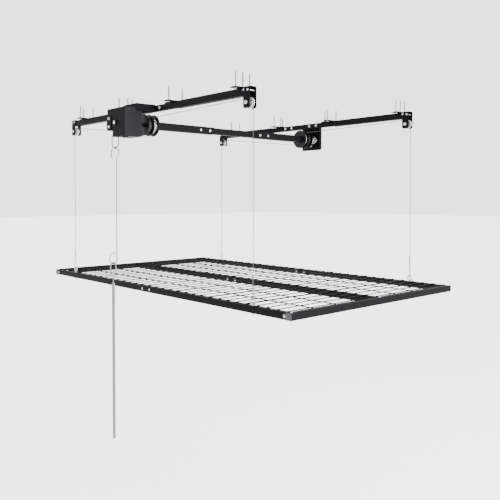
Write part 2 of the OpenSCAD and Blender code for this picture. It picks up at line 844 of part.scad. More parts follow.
// The inner pieces that join the left and right halves of the long tubes
module tube_joiners() {
  color([0.3, 0.3, 0.32])
    for (row = [-1, 0, 1])
      difference() {
        tube_x(-80, 80, row * long_y, tube_z, joiner_w, 2);
        for (x = [-joint_screw_x, joint_screw_x])
          rod([x, row * long_y - tube_w, tube_z], [x, row * long_y, tube_z], deck_screw_r);
      }
}

// One welded wire panel, centred on x
module wire_panel(x) {
  edge = 2 * wire_pitch;
  for (i = [-2 : 2])
    rod([x + i * wire_pitch, -long_y - 4, tube_top_z + wire_r], [x + i * wire_pitch, long_y + 4, tube_top_z + wire_r],
      wire_r);
  for (k = [-3, -2, -1, 1, 2, 3])
    rod([x - edge, k * cross_pitch, tube_top_z - 1], [x + edge, k * cross_pitch, tube_top_z - 1], wire_r);
}

module wire_decks() {
  color([0.12, 0.12, 0.13])
    for (side = [-1, 1], i = [0 : 3])
      wire_panel(side * (i + 0.5) * panel_pitch);
}

// A screw with a washer, its head along the given turn
module deck_screw(place, turn) {
  translate(place)
    rotate(turn) {
      cylinder(h = 1.2, r = 6.5, $fn = 32);
      translate([0, 0, 1.2])
        cylinder(h = 3.2, r1 = 5.2, r2 = 3.6, $fn = 32);
      translate([0, 0, -deck_wall - 8])
        cylinder(h = deck_wall + 8.5, r = deck_screw_r, $fn = 32);
    }
}

// Screws along the long edges, in the side tubes, at the corners and at the joints
module deck_screws() {
  color([0.75, 0.76, 0.78]) {
    for (side = [-1, 1], row = [-1, 1], i = [0 : 3])
      deck_screw([side * panel_screw_x(i), row * long_y, tube_top_z], [0, 0, 0]);
    for (side = [-1, 1], row = [-1, 0, 1])
      deck_screw([side * side_x, row * long_y, tube_top_z], [0, 0, 0]);
    for (side = [-1, 1]) {
      deck_screw([side * corner_screw_x, -deck_depth / 2, tube_z], [90, 0, 0]);
      deck_screw([side * corner_screw_x, deck_depth / 2, tube_z], [-90, 0, 0]);
    }
    for (side = [-1, 1], row = [-1, 0, 1])
      deck_screw([side * joint_screw_x, row * long_y - tube_w / 2, tube_z], [90, 0, 0]);
  }
}

// The eye bolts that the cables pull on
module eye_bolts() {
  color([0.75, 0.76, 0.78])
    for (side = [-1, 1], row = [-1, 1])
      translate([side * drop_x, row * long_y, 0]) {
        translate([0, 0, deck_z - 12])
          cylinder(h = eye_bolt_z - eye_bolt_ring - deck_z + 12, r = eye_bolt_r);
        translate([0, 0, deck_z - 7])
          hex(13, 7);
        translate([0, 0, tube_top_z])
          cylinder(h = 2, r = 8);
        translate([0, 0, eye_bolt_z])
          rotate([90, 0, 0])
            rotate_extrude($fn = 64)
              translate([eye_bolt_ring, 0])
                circle(r = eye_bolt_wire, $fn = 24);
      }
}

rail_end(-1, -rail_y);  // front_rail_left
rail_middle(-rail_y);  // front_rail_middle
rail_end(1, -rail_y);  // front_rail_right
rail_end(-1, rail_y);  // back_rail_left
rail_middle(rail_y);  // back_rail_middle
rail_end(1, rail_y);  // back_rail_right
saddles(-rail_y);  // front_saddles
saddles(rail_y);  // back_saddles
lag_screws();
rail_bolts();
clevis(-1, -rail_y);  // clevis_front_left
clevis(1, -rail_y);  // clevis_front_right
clevis(-1, rail_y);  // clevis_back_left
clevis(1, rail_y);  // clevis_back_right
pulley_axles();
clevis_bolts();
front_hanger();
gear_case();
gear_cover();
shaft_bushes();
worm_bushes();
case_bolts();
back_bearing_plate();
back_bearing_housing();
bearing_screws();
rail_cables(-1);  // front_rail_cables
rail_cables(1);  // back_rail_cables
pulley(-1, -rail_y);  // pulley_front_left
pulley(1, -rail_y);  // pulley_front_right
pulley(-1, rail_y);  // pulley_back_left
pulley(1, rail_y);  // pulley_back_right
sleeve(-1);  // front_sleeve
sleeve(1);  // back_sleeve
inner_drive_tube();
journal(-1, -case_front_y + 9);  // front_journal
journal(1, back_plate_y + 6);  // back_journal
drum(-1);  // front_drum
drum(1);  // back_drum
windings(-1);  // front_windings
windings(1);  // back_windings
worm_wheel();
drive_fasteners();
worm_shaft();
input_eye();
crank_rod();
crank_pole();
side_tube(-1);  // side_tube_left
side_tube(1);  // side_tube_right
long_tube(-1, -1);  // front_tube_left
long_tube(1, -1);  // front_tube_right
long_tube(-1, 0);  // centre_tube_left
long_tube(1, 0);  // centre_tube_right
long_tube(-1, 1);  // back_tube_left
long_tube(1, 1);  // back_tube_right
tube_joiners();
wire_decks();
deck_screws();
eye_bolts();
cable_ends();
cable_clamps();
drop_cables(-1);  // front_drop_cables
drop_cables(1);  // back_drop_cables
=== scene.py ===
"""The visual model of a ceiling mounted pulley rack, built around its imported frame.

Lengths are metres in the frame's own axes: X along the rails, Y along the drive shaft, Z up, and the
ceiling at Z = 0. Shapes are surfaces worked out with numpy: outlines stacked along an axis, or an
outline carried along a path.
"""

from __future__ import annotations

import logging
import math
from dataclasses import dataclass
from enum import Enum
from typing import Iterable, Sequence

import bmesh
import bpy
import numpy as np
from mathutils import Matrix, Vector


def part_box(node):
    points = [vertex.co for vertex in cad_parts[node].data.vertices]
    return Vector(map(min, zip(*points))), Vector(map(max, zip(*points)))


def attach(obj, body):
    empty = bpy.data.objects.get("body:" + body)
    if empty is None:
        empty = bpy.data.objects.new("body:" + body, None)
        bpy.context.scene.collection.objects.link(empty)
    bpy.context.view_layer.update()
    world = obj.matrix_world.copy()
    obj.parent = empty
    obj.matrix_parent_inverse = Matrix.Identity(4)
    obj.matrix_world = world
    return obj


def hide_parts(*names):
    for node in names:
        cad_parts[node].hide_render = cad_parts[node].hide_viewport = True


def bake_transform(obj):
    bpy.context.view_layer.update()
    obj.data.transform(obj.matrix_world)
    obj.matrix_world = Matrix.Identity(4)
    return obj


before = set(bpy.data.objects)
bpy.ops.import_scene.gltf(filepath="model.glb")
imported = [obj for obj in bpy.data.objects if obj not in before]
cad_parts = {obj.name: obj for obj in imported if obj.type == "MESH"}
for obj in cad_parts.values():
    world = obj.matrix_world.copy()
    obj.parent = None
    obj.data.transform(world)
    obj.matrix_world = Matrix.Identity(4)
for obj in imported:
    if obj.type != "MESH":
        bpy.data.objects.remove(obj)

LOG = logging.getLogger("pulley_rack")
MM = 0.001
Array = np.ndarray


# ---------------------------------------------------------------- outlines


def circle(radius: float, count: int = 24) -> Array:
    """A circle's points: (r cos a, r sin a) for count even steps of a."""
    angle = np.arange(count) * 2 * np.pi / count
    return radius * np.stack([np.cos(angle), np.sin(angle)], 1)


def hexagon(across: float, count: int = 24) -> Array:
    """A hexagon's points: the radius at angle a is half the width over cos(a off the nearest flat).

    Args:
        across: Width across the flats.
        count: Number of points, a multiple of six.

    Returns:
        The outline's points, in order.
    """
    angle = np.arange(count) * 2 * np.pi / count
    off_flat = (angle + np.pi / 6) % (np.pi / 3) - np.pi / 6
    radius = across / 2 / np.cos(off_flat)
    return np.stack([radius * np.cos(angle), radius * np.sin(angle)], 1)


def rounded_square(width: float, corner: float, per_corner: int = 5) -> Array:
    """A square with quarter-circle corners: each corner's arc about a centre set in by its radius.

    Args:
        width: Side of the square.
        corner: Radius of the corners.
        per_corner: Points on each corner's arc.

    Returns:
        The outline's points, in order.
    """
    corner = max(corner, width * 0.01)
    middle = width / 2 - corner
    steps = np.linspace(0, np.pi / 2, per_corner)
    arcs = []
    for turn in range(4):
        start = turn * np.pi / 2
        centre = np.array([math.cos(start + np.pi / 4), math.sin(start + np.pi / 4)]) * middle * math.sqrt(2)
        arcs.append(centre + corner * np.stack([np.cos(start + steps), np.sin(start + steps)], 1))
    return np.concatenate(arcs)


def rounded_polygon(points: Sequence[Sequence[float]], radius: float, steps: int = 5) -> Array:
    """A polygon whose corners are quadratic curves from a point before the corner to one after it.

    Args:
        points: Corners, in order.
        radius: Distance along each side where the curve starts.
        steps: Points on each corner's curve.

    Returns:
        The outline's points, in order.
    """
    corners = np.asarray(points, float)
    before = np.roll(corners, 1, axis=0) - corners
    after = np.roll(corners, -1, axis=0) - corners
    lengths = np.minimum(np.linalg.norm(before, axis=1), np.linalg.norm(after, axis=1))
    reach = np.minimum(radius, lengths * 0.49)[:, None]
    start = corners + before / np.linalg.norm(before, axis=1)[:, None] * reach
    end = corners + after / np.linalg.norm(after, axis=1)[:, None] * reach
    t = np.linspace(0, 1, steps)[None, :, None]
    curve = (1 - t) ** 2 * start[:, None] + 2 * t * (1 - t) * corners[:, None] + t**2 * end[:, None]
    return curve.reshape(-1, 2)


def rope_outline(radius: float, strands: int = 6, count: int = 24) -> Array:
    """A rope's section: a circle whose radius dips between the strands, as |cos| of half the strand angle.

    Args:
        radius: Radius over the strands.
        strands: Number of strands.
        count: Number of points.

    Returns:
        The outline's points, in order.
    """
    angle = np.arange(count) * 2 * np.pi / count
    bulge = radius * (0.8 + 0.2 * np.abs(np.cos(angle * strands / 2)))
    return np.stack([bulge * np.cos(angle), bulge * np.sin(angle)], 1)


# ---------------------------------------------------------------- surfaces


@dataclass
class Surface:
    """Points and faces of one or more closed surfaces."""

    points: Array
    faces: list[Array]

    def moved(self, matrix: Matrix) -> Surface:
        """The same surface, moved and turned by a matrix."""
        turn = np.array(matrix)
        return Surface(self.points @ turn[:3, :3].T + turn[:3, 3], self.faces)

    def shifted(self, x: float = 0, y: float = 0, z: float = 0) -> Surface:
        """The same surface, moved by a distance."""
        return Surface(self.points + np.array([x, y, z]), self.faces)


def join(parts: Iterable[Surface]) -> Surface:
    """Several surfaces as one, with the face numbers of each moved past the points before it."""
    points, faces, count = [], [], 0
    for part in parts:
        points.append(part.points)
        faces.extend(face + count for face in part.faces)
        count += len(part.points)
    return Surface(np.concatenate(points), faces)


def grid_faces(rows: int, columns: int, close_rows: bool = False) -> Array:
    """Quads of a grid that wraps round in its columns, and in its rows too if asked.

    Args:
        rows: Number of rows of points.
        columns: Number of points in a row.
        close_rows: Whether the last row joins the first.

    Returns:
        One row of four point numbers per quad.
    """
    i = np.arange(rows if close_rows else rows - 1)[:, None]
    j = np.arange(columns)[None, :]
    across, up = (j + 1) % columns, (i + 1) % rows
    quads = np.stack(np.broadcast_arrays(i * columns + j, i * columns + across, up * columns + across,
                                         up * columns + j), -1)
    return quads.reshape(-1, 4)


class Axis(Enum):
    """The direction that a stack of outlines grows in, with its two cross directions."""

    X = ((0, 1, 0), (0, 0, 1), (1, 0, 0))
    Y = ((0, 0, 1), (1, 0, 0), (0, 1, 0))
    Z = ((1, 0, 0), (0, 1, 0), (0, 0, 1))
    MINUS_Y = ((1, 0, 0), (0, 0, 1), (0, -1, 0))
    MINUS_Z = ((0, 1, 0), (1, 0, 0), (0, 0, -1))


def stack(rows: Sequence[tuple[float, Array]], axis: Axis, at: Sequence[float] = (0, 0, 0),
          hollow: bool = False) -> Surface:
    """Outlines stacked along an axis: point (i, j) is the origin plus height i plus point j of outline i.

    Args:
        rows: Height and outline of each row; all outlines have the same number of points.
        axis: Direction of the stack.
        at: Origin of the stack.
        hollow: Whether the last row joins the first, as in a tube; otherwise both ends are capped.

    Returns:
        The closed surface.
    """
    frame_axes = np.array(axis.value, float)
    columns = len(rows[0][1])
    flat = np.concatenate([np.column_stack([outline, np.full(columns, height)]) for height, outline in rows])
    points = flat @ frame_axes + np.asarray(at, float)
    faces = [grid_faces(len(rows), columns, hollow)]
    if not hollow:
        last = (len(rows) - 1) * columns
        faces += [np.arange(columns)[None, ::-1], np.arange(last, last + columns)[None]]
    return Surface(points, faces)


def turned(profile: Sequence[tuple[float, float]], axis: Axis, at: Sequence[float] = (0, 0, 0),
           count: int = 32, hollow: bool = False) -> Surface:
    """A turned solid: circles of each profile radius stacked at each profile height.

    Args:
        profile: (radius, height) pairs.
        axis: Axis of the solid.
        at: Origin of the heights.
        count: Points round each circle.
        hollow: Whether the profile closes on itself, as round a bore.

    Returns:
        The closed surface.
    """
    return stack([(height, circle(radius, count)) for radius, height in profile], axis, at, hollow)


def slab(outline: Array, low: float, high: float, axis: Axis, at: Sequence[float] = (0, 0, 0)) -> Surface:
    """A flat plate: one outline at its low face and the same outline at its high face."""
    return stack([(low, outline), (high, outline)], axis, at)


def block(low: Sequence[float], high: Sequence[float]) -> Surface:
    """A plain block between two corners, for a bevel to round."""
    (x0, y0, z0), (x1, y1, z1) = low, high
    return slab(np.array([[x0, y0], [x1, y0], [x1, y1], [x0, y1]]), z0, z1, Axis.Z)


def tube(low: Sequence[float], high: Sequence[float], along: int, wall: float, corner: float) -> Surface:
    """A hollow square tube: rounded squares along its length, outside and then back along the inside.

    Args:
        low: Lowest corner of the tube's box.
        high: Highest corner of the tube's box.
        along: Index of the axis that the tube runs along.
        wall: Thickness of the wall.
        corner: Radius of the outer corners.

    Returns:
        The closed surface.
    """
    width = high[2] - low[2]
    length = high[along] - low[along]
    edge = 0.4 * MM
    outer, chamfer = rounded_square(width, corner), rounded_square(width - 2 * edge, corner - edge)
    inner = rounded_square(width - 2 * wall, corner - wall)
    rows = [(0, chamfer), (edge, outer), (length / 3, outer), (length * 2 / 3, outer), (length - edge, outer),
            (length, chamfer), (length, inner), (0, inner)]
    at = [(a + b) / 2 for a, b in zip(low, high)]
    at[along] = low[along]
    return stack(rows, Axis.X if along == 0 else Axis.Y, at, hollow=True)


def arc(centre: Sequence[float], radius: float, start: float, end: float, u: Sequence[float],
        v: Sequence[float], steps: int = 16) -> Array:
    """Points of an arc: centre + r cos(a) u + r sin(a) v, from one angle to another in degrees."""
    angle = np.radians(np.linspace(start, end, steps + 1))[:, None]
    return np.asarray(centre) + radius * (np.cos(angle) * np.asarray(u) + np.sin(angle) * np.asarray(v))


def sweep(path: Array, outline: Array, side: Sequence[float], pitch: float = 0.0,
          round_end: float = 0.0) -> Surface:
    """An outline carried along a path: each ring lies across the path's mean direction at its point.

    The ring's first direction is the side direction made square to the path, and its second is their
    cross product, widened at a bend by one over the cosine of half the bend. A rope's outline turns
    by its distance along the path over the pitch.

    Args:
        path: Points of the path, one row each.
        outline: Points of the section.
        side: A direction that is never along the path.
        pitch: Length in which the section turns once, or zero for no turning.
        round_end: Length of the rounding at each end, or zero for flat ends.

    Returns:
        The closed surface.
    """
    scale = np.ones(len(path))
    if round_end:
        head, tail = path[0] - path[1], path[-1] - path[-2]
        head, tail = head / np.linalg.norm(head), tail / np.linalg.norm(tail)
        start = path[0] - head * round_end * (1 - np.array([1.0, 0.7, 0.3]))[:, None]
        end = path[-1] - tail * round_end * (1 - np.array([0.3, 0.7, 1.0]))[:, None]
        path = np.concatenate([start, path[1:-1], end])
        scale = np.concatenate([[0.45, 0.85, 1.0], scale[1:-1], [1.0, 0.85, 0.45]])
    legs = np.diff(path, axis=0)
    lengths = np.linalg.norm(legs, axis=1)
    units = legs / lengths[:, None]
    heading = np.concatenate([units[:1], units[1:] + units[:-1], units[-1:]])
    heading /= np.linalg.norm(heading, axis=1)[:, None]
    across = np.asarray(side) - (heading @ np.asarray(side))[:, None] * heading
    across /= np.linalg.norm(across, axis=1)[:, None]
    over = np.cross(heading, across)
    widen = 1 / np.clip((heading * np.concatenate([units, units[-1:]])).sum(1), 0.5, 1)
    distance = np.concatenate([[0], np.cumsum(lengths)])
    angle = (distance / pitch * 2 * np.pi if pitch else distance * 0)[:, None]
    u = outline[None, :, 0] * np.cos(angle) - outline[None, :, 1] * np.sin(angle)
    v = outline[None, :, 0] * np.sin(angle) + outline[None, :, 1] * np.cos(angle)
    u, v = u * scale[:, None], v * scale[:, None] * widen[:, None]
    points = path[:, None] + u[..., None] * across[:, None] + v[..., None] * over[:, None]
    columns, last = len(outline), (len(path) - 1) * len(outline)
    faces = [grid_faces(len(path), columns), np.arange(columns)[None, ::-1],
             np.arange(last, last + columns)[None]]
    return Surface(points.reshape(-1, 3), faces)


def finer(path: Array, step: float) -> Array:
    """The same path with points no further apart than a step, each leg cut into even parts."""
    parts = []
    for a, b in zip(path[:-1], path[1:]):
        cuts = max(1, math.ceil(np.linalg.norm(b - a) / step))
        parts.append(a + (b - a) * (np.arange(cuts) / cuts)[:, None])
    return np.concatenate([*parts, path[-1:]])


# ---------------------------------------------------------------- finishes


class Grain(Enum):
    """How a finish varies over its surface: the noise's scale along X, Y and Z, in turns per metre."""

    FINE = (900.0, 900.0, 900.0)
    COARSE = (260.0, 260.0, 260.0)
    BRUSHED_Z = (1400.0, 1400.0, 60.0)
    TURNED_Y = (500.0, 2600.0, 500.0)


@dataclass(frozen=True)
class Finish:
    """A finish: its base colour, its gloss and the small variation that a real surface has.

    The colour is a mix of a dark and a light tone by broad noise. Its roughness and its bump follow
    fine noise, and the light tone also shows where the surface bends, as wear along edges does.
    """

    name: str
    dark: tuple[float, float, float]
    light: tuple[float, float, float]
    metallic: float = 0.0
    rough: tuple[float, float] = (0.4, 0.55)
    specular: float = 0.5
    bump: float = 0.05
    grain: Grain = Grain.FINE
    blotch: float = 14.0
    wear: float = 0.0

    def material(self) -> bpy.types.Material:
        """The finish's material, made once and then found by name.

        Returns:
            A node material that reads Object coordinates.
        """
        made = bpy.data.materials.get(self.name)
        if made:
            return made
        made = bpy.data.materials.new(self.name)
        made.use_nodes = True
        nodes, links = made.node_tree.nodes, made.node_tree.links
        shader = nodes["Principled BSDF"]
        shader.inputs["Metallic"].default_value = self.metallic
        shader.inputs["Specular IOR Level"].default_value = self.specular
        place = nodes.new("ShaderNodeTexCoord")
        broad = nodes.new("ShaderNodeTexNoise")
        broad.inputs["Scale"].default_value = self.blotch
        broad.inputs["Detail"].default_value = 4.0
        links.new(place.outputs["Object"], broad.inputs["Vector"])
        stretch = nodes.new("ShaderNodeMapping")
        stretch.inputs["Scale"].default_value = self.grain.value
        links.new(place.outputs["Object"], stretch.inputs["Vector"])
        fine = nodes.new("ShaderNodeTexNoise")
        fine.inputs["Scale"].default_value = 1.0
        fine.inputs["Detail"].default_value = 3.0
        links.new(stretch.outputs["Vector"], fine.inputs["Vector"])
        tone = nodes.new("ShaderNodeMix")
        tone.data_type = "RGBA"
        tone.inputs["A"].default_value = (*self.dark, 1)
        tone.inputs["B"].default_value = (*self.light, 1)
        blend = nodes.new("ShaderNodeMath")
        blend.operation = "MULTIPLY_ADD"
        blend.inputs[1].default_value = 0.6
        links.new(broad.outputs["Fac"], blend.inputs[0])
        links.new(self._grain_share(nodes, links, fine), blend.inputs[2])
        blend.use_clamp = True
        links.new(blend.outputs[0], tone.inputs["Factor"])
        links.new(tone.outputs["Result"], shader.inputs["Base Color"])
        polish = nodes.new("ShaderNodeMapRange")
        polish.inputs["To Min"].default_value = self.rough[0]
        polish.inputs["To Max"].default_value = self.rough[1]
        links.new(fine.outputs["Fac"], polish.inputs["Value"])
        links.new(polish.outputs["Result"], shader.inputs["Roughness"])
        relief = nodes.new("ShaderNodeBump")
        relief.inputs["Strength"].default_value = self.bump
        relief.inputs["Distance"].default_value = 0.4 * MM
        links.new(fine.outputs["Fac"], relief.inputs["Height"])
        links.new(relief.outputs["Normal"], shader.inputs["Normal"])
        return made

    def _grain_share(self, nodes: bpy.types.Nodes, links: bpy.types.NodeLinks,
                     fine: bpy.types.Node) -> bpy.types.NodeSocket:
        """The part of the colour mix that follows the fine grain and the worn edges.

        Args:
            nodes: The material's nodes.
            links: The material's links.
            fine: The fine noise.

        Returns:
            The socket that carries it.
        """
        share = nodes.new("ShaderNodeMath")
        share.operation = "MULTIPLY"
        share.inputs[1].default_value = 0.4
        links.new(fine.outputs["Fac"], share.inputs[0])
        if not self.wear:
            return share.outputs[0]
        bend = nodes.new("ShaderNodeNewGeometry")
        edge = nodes.new("ShaderNodeMapRange")
        edge.inputs["From Min"].default_value = 0.53
        edge.inputs["From Max"].default_value = 0.62
        edge.inputs["To Max"].default_value = self.wear
        links.new(bend.outputs["Pointiness"], edge.inputs["Value"])
        total = nodes.new("ShaderNodeMath")
        links.new(share.outputs[0], total.inputs[0])
        links.new(edge.outputs["Result"], total.inputs[1])
        return total.outputs[0]


RAIL_BLACK = Finish("rail_black", (0.0014, 0.0014, 0.0018), (0.004, 0.004, 0.0048), rough=(0.42, 0.6),
                    specular=0.03, bump=0.12, wear=0.3)
BRACKET_BLACK = Finish("bracket_black", (0.0012, 0.0012, 0.0015), (0.0035, 0.0035, 0.0042), rough=(0.45, 0.62),
                       specular=0.03, bump=0.12, wear=0.3)
CASE_CHARCOAL = Finish("case_charcoal", (0.003, 0.003, 0.0037), (0.008, 0.008, 0.0095), rough=(0.5, 0.66),
                       specular=0.06, bump=0.2, wear=0.3)
DRUM_GLOSS = Finish("drum_gloss", (0.0014, 0.0014, 0.0017), (0.004, 0.004, 0.0046), rough=(0.22, 0.32),
                    specular=0.12, bump=0.03, wear=0.2)
DECK_BLACK = Finish("deck_black", (0.0008, 0.0008, 0.001), (0.003, 0.003, 0.0036), rough=(0.4, 0.55),
                    specular=0.03, bump=0.1, wear=0.3)
ZINC = Finish("zinc_plate", (0.26, 0.265, 0.28), (0.46, 0.465, 0.48), 0.85, (0.24, 0.42), bump=0.04)
SCREW_ZINC = Finish("screw_zinc", (0.13, 0.133, 0.14), (0.24, 0.245, 0.255), 0.8, (0.28, 0.46), bump=0.05,
                    grain=Grain.COARSE)
PULLEY_ZINC = Finish("plated_wheel", (0.34, 0.345, 0.36), (0.56, 0.565, 0.58), 0.6, (0.28, 0.42), bump=0.06,
                     grain=Grain.TURNED_Y)
ROPE = Finish("rope_strands", (0.028, 0.028, 0.031), (0.06, 0.061, 0.066), 0.0, (0.5, 0.65), specular=0.15,
              bump=0.1)
# Painted light and shade: the cable wound in the drums' inner bays is a bright lit copy of the rope finish. The same
# cable in the outer bays takes the darker ROPE finish as painted shade.
LIT_WOUND_ROPE = Finish("lit_wound_rope", (0.3, 0.305, 0.32), (0.5, 0.505, 0.52), 0.8, (0.3, 0.46), bump=0.1)
POLISHED = Finish("polished_rod", (0.08, 0.082, 0.088), (0.18, 0.183, 0.193), 0.8, (0.18, 0.32), bump=0.04,
                  grain=Grain.BRUSHED_Z)
EYE_STEEL = Finish("eye_wire", (0.016, 0.016, 0.018), (0.036, 0.036, 0.040), 0.0, (0.45, 0.6), specular=0.2,
                   bump=0.05)
CLAMP_ALLOY = Finish("pressed_alloy", (0.45, 0.46, 0.48), (0.62, 0.63, 0.65), 0.8, (0.35, 0.5), bump=0.08,
                     grain=Grain.COARSE)
BRIGHT_STEEL = Finish("turned_steel", (0.48, 0.49, 0.51), (0.64, 0.65, 0.67), 0.9, (0.22, 0.36), bump=0.06,
                      grain=Grain.TURNED_Y)
BRONZE = Finish("bush_bronze", (0.36, 0.22, 0.09), (0.56, 0.37, 0.17), 0.85, (0.3, 0.48), bump=0.06,
                grain=Grain.COARSE)
CAP_BLACK = Finish("cap_black", (0.008, 0.008, 0.009), (0.014, 0.014, 0.015), rough=(0.5, 0.6), bump=0.2,
                   grain=Grain.COARSE)


# ---------------------------------------------------------------- pieces


@dataclass(frozen=True)
class Piece:
    """A finished piece: its name, finish, body, record slot and the CAD nodes that it stands for."""

    name: str
    finish: Finish
    body: str
    slot: str
    nodes: tuple[str, ...] = ()

    def make(self, surface: Surface, bevel: float = 0.0, crease: float = 35.0) -> bpy.types.Object:
        """Makes the mesh, cleans it and dresses it; place puts it on its body.

        Args:
            surface: The piece's surface, in place.
            bevel: Width of the rounding of its sharp edges, or zero for none.
            crease: Angle in degrees above which an edge stays sharp.

        Returns:
            The new object.
        """
        mesh = bpy.data.meshes.new(self.name)
        faces = [face for group in surface.faces for face in group.tolist()]
        mesh.from_pydata(surface.points.tolist(), [], faces)
        self._clean(mesh, crease)
        mesh.materials.append(self.finish.material())
        piece = bpy.data.objects.new(self.name, mesh)
        bpy.context.scene.collection.objects.link(piece)
        if bevel:
            rounding = piece.modifiers.new("rounding", "BEVEL")
            rounding.width = bevel
            rounding.segments = 2
            rounding.limit_method = "ANGLE"
            rounding.angle_limit = math.radians(40)
            rounding.harden_normals = True
        if self.nodes:
            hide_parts(*self.nodes)
        LOG.info("%s: %d points, on %s", self.name, len(mesh.vertices), self.body)
        return piece

    def place(self, surface: Surface, bevel: float = 0.0, crease: float = 35.0) -> bpy.types.Object:
        """Makes the piece and rides it on its body."""
        piece = self.make(surface, bevel, crease)
        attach(piece, self.body)
        return piece

    @staticmethod
    def _clean(mesh: bpy.types.Mesh, crease: float) -> None:
        """Merges doubled points, turns the faces outwards and shades all but the sharp edges smooth."""
        work = bmesh.new()
        work.from_mesh(mesh)
        bmesh.ops.remove_doubles(work, verts=work.verts, dist=1e-6)
        bmesh.ops.recalc_face_normals(work, faces=work.faces)
        for face in work.faces:
            face.smooth = True
        work.to_mesh(mesh)
        work.free()
        mesh.set_sharp_from_angle(angle=math.radians(crease))


def hex_head(across: float, height: float, axis: Axis, at: Sequence[float]) -> Surface:
    """A hexagon head: hexagons up to a chamfer, then circles to a flat top."""
    rows = [(0, hexagon(across)), (height * 0.72, hexagon(across)), (height * 0.93, circle(across * 0.497)),
            (height, circle(across * 0.46)), (height, circle(across * 0.1))]
    return stack(rows, axis, at)


def washer(inner: float, outer: float, height: float, axis: Axis, at: Sequence[float]) -> Surface:
    """A flat washer with rounded rims."""
    edge = height * 0.25
    profile = [(outer - edge, 0), (outer, edge), (outer, height - edge), (outer - edge, height), (inner, height),
               (inner, 0)]
    return turned(profile, axis, at, 24, hollow=True)


def pan_screw(radius: float, axis: Axis, at: Sequence[float]) -> Surface:
    """A washer-head screw seen from outside: a flange, a domed head and a cross-slot's round hollow."""
    profile = [(radius * 1.35, 0), (radius * 1.35, 0.8 * MM), (radius, 1.3 * MM), (radius * 0.98, 2.4 * MM),
               (radius * 0.8, 3.3 * MM), (radius * 0.42, 3.7 * MM), (radius * 0.3, 2.2 * MM)]
    return turned(profile, axis, at, 20)


def thread(radius: float, length: float, pitch: float, at: Sequence[float], point: float) -> Surface:
    """An upright screw thread: a circle stack whose radius is a helix, r - d/2 + d/2 cos(a - turns).

    Args:
        radius: Radius over the thread's crests.
        length: Length from the foot to the tip.
        pitch: Height of one turn.
        at: Foot of the thread.
        point: Length of the tapered tip.

    Returns:
        The closed surface.
    """
    depth, count = radius * 0.16, 16
    height = np.arange(0, length + pitch / 4, pitch / 4)
    angle = np.arange(count) * 2 * np.pi / count
    wave = radius - depth / 2 + depth / 2 * np.cos(angle[None] - 2 * np.pi * height[:, None] / pitch)
    taper = np.clip((length + 0.5 * MM - height) / point, 0.05, 1)[:, None]
    wave = wave * taper
    rows = [(h, np.stack([w * np.cos(angle), w * np.sin(angle)], 1)) for h, w in zip(height, wave)]
    return stack(rows, Axis.Z, at)


# ---------------------------------------------------------------- the ceiling frame


@dataclass
class CeilingRail:
    """One long rail: its three tubes, its ceiling plates, the bolts through its middle and its screws."""

    row: str
    corner: float = 3 * MM
    wall: float = 2 * MM
    plate: float = 4 * MM
    wing_y: float = 60 * MM
    wing_x: float = 20 * MM
    screw_y: float = 41 * MM
    pairs: tuple[float, ...] = (-0.667, -0.220, 0.253, 0.757)
    over_rail: tuple[float, ...] = (-0.709, -0.196, 0.196, 0.757)
    bolts: tuple[float, ...] = (-0.136, -0.078, 0.078, 0.136)

    def build(self) -> None:
        """Builds every piece of the rail but its screws, which both rails share."""
        for part in ("left", "middle", "right"):
            node = f"{self.row}_rail_{part}"
            low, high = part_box(node)
            Piece(f"{node}_tube", RAIL_BLACK, "ceiling_frame", "rail_coat", (node,)).place(
                tube(low, high, 0, self.wall, self.corner))
        node = f"{self.row}_saddles"
        Piece(f"{self.row}_ceiling_plates", BRACKET_BLACK, "ceiling_frame", "bracket_coat", (node,)).place(
            join(self._plates()), bevel=0.8 * MM)

    @property
    def y(self) -> float:
        """Where the rail's centre line lies along Y."""
        low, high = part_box(f"{self.row}_rail_middle")
        return (low.y + high.y) / 2

    def _plates(self) -> list[Surface]:
        """The four plates: a tongue over the rail with a wing to each side, its corners rounded."""
        bottom, top = (corner.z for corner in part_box(f"{self.row}_saddles"))
        half = self.wing_y / 4
        plates = []
        for index, (pair, over) in enumerate(zip(self.pairs, self.over_rail)):
            low, high = min(pair, over) - self.wing_x, max(pair, over) + self.wing_x
            x0, x1, w = pair - self.wing_x, pair + self.wing_x, self.wing_y
            outline = [(x0, -w), (x1, -w), (x1, -half), (high, -half), (high, half), (x1, half), (x1, w), (x0, w),
                       (x0, half), (low, half), (low, -half), (x0, -half)]
            tidy = [p for p, q in zip(outline, outline[1:] + outline[:1]) if math.dist(p, q) > 1e-6]
            shape = rounded_polygon(tidy, 5 * MM, 4)
            plates.append(slab(shape, -self.plate, top, Axis.Z, (0, self.y, 0)))
            if index in (1, 2):
                pad = rounded_polygon([(over - 0.019, -0.014), (over + 0.019, -0.014), (over + 0.019, 0.014),
                                       (over - 0.019, 0.014)], 3 * MM, 3)
                plates.append(slab(pad, bottom, -self.plate + 0.2 * MM, Axis.Z, (0, self.y, 0)))
        return plates

    def screw_places(self) -> list[tuple[float, float, float]]:
        """Where the rail's ceiling screws stand: x, y and the height of the face their heads meet."""
        pairs = [(x, self.y + s * self.screw_y, -self.plate) for x in self.pairs for s in (-1, 1)]
        ends = [(x, self.y, -self.plate - self.wall) for x in (self.over_rail[0], self.over_rail[3])]
        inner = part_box(f"{self.row}_rail_middle")[1].z - self.wall
        return pairs + ends + [(x, self.y, inner) for x in self.over_rail[1:3]]

    def bolt_places(self) -> list[tuple[float, float, float]]:
        """Where the bolts cross the rail: x and the two faces that they hold together."""
        low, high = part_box(f"{self.row}_rail_middle")
        front, back = (3 * MM, 0) if self.row == "front" else (0, 3 * MM)
        held = [(x, abs(x) < 100 * MM) for x in self.bolts]
        return [(x, low.y - front * on, high.y + back * on) for x, on in held]


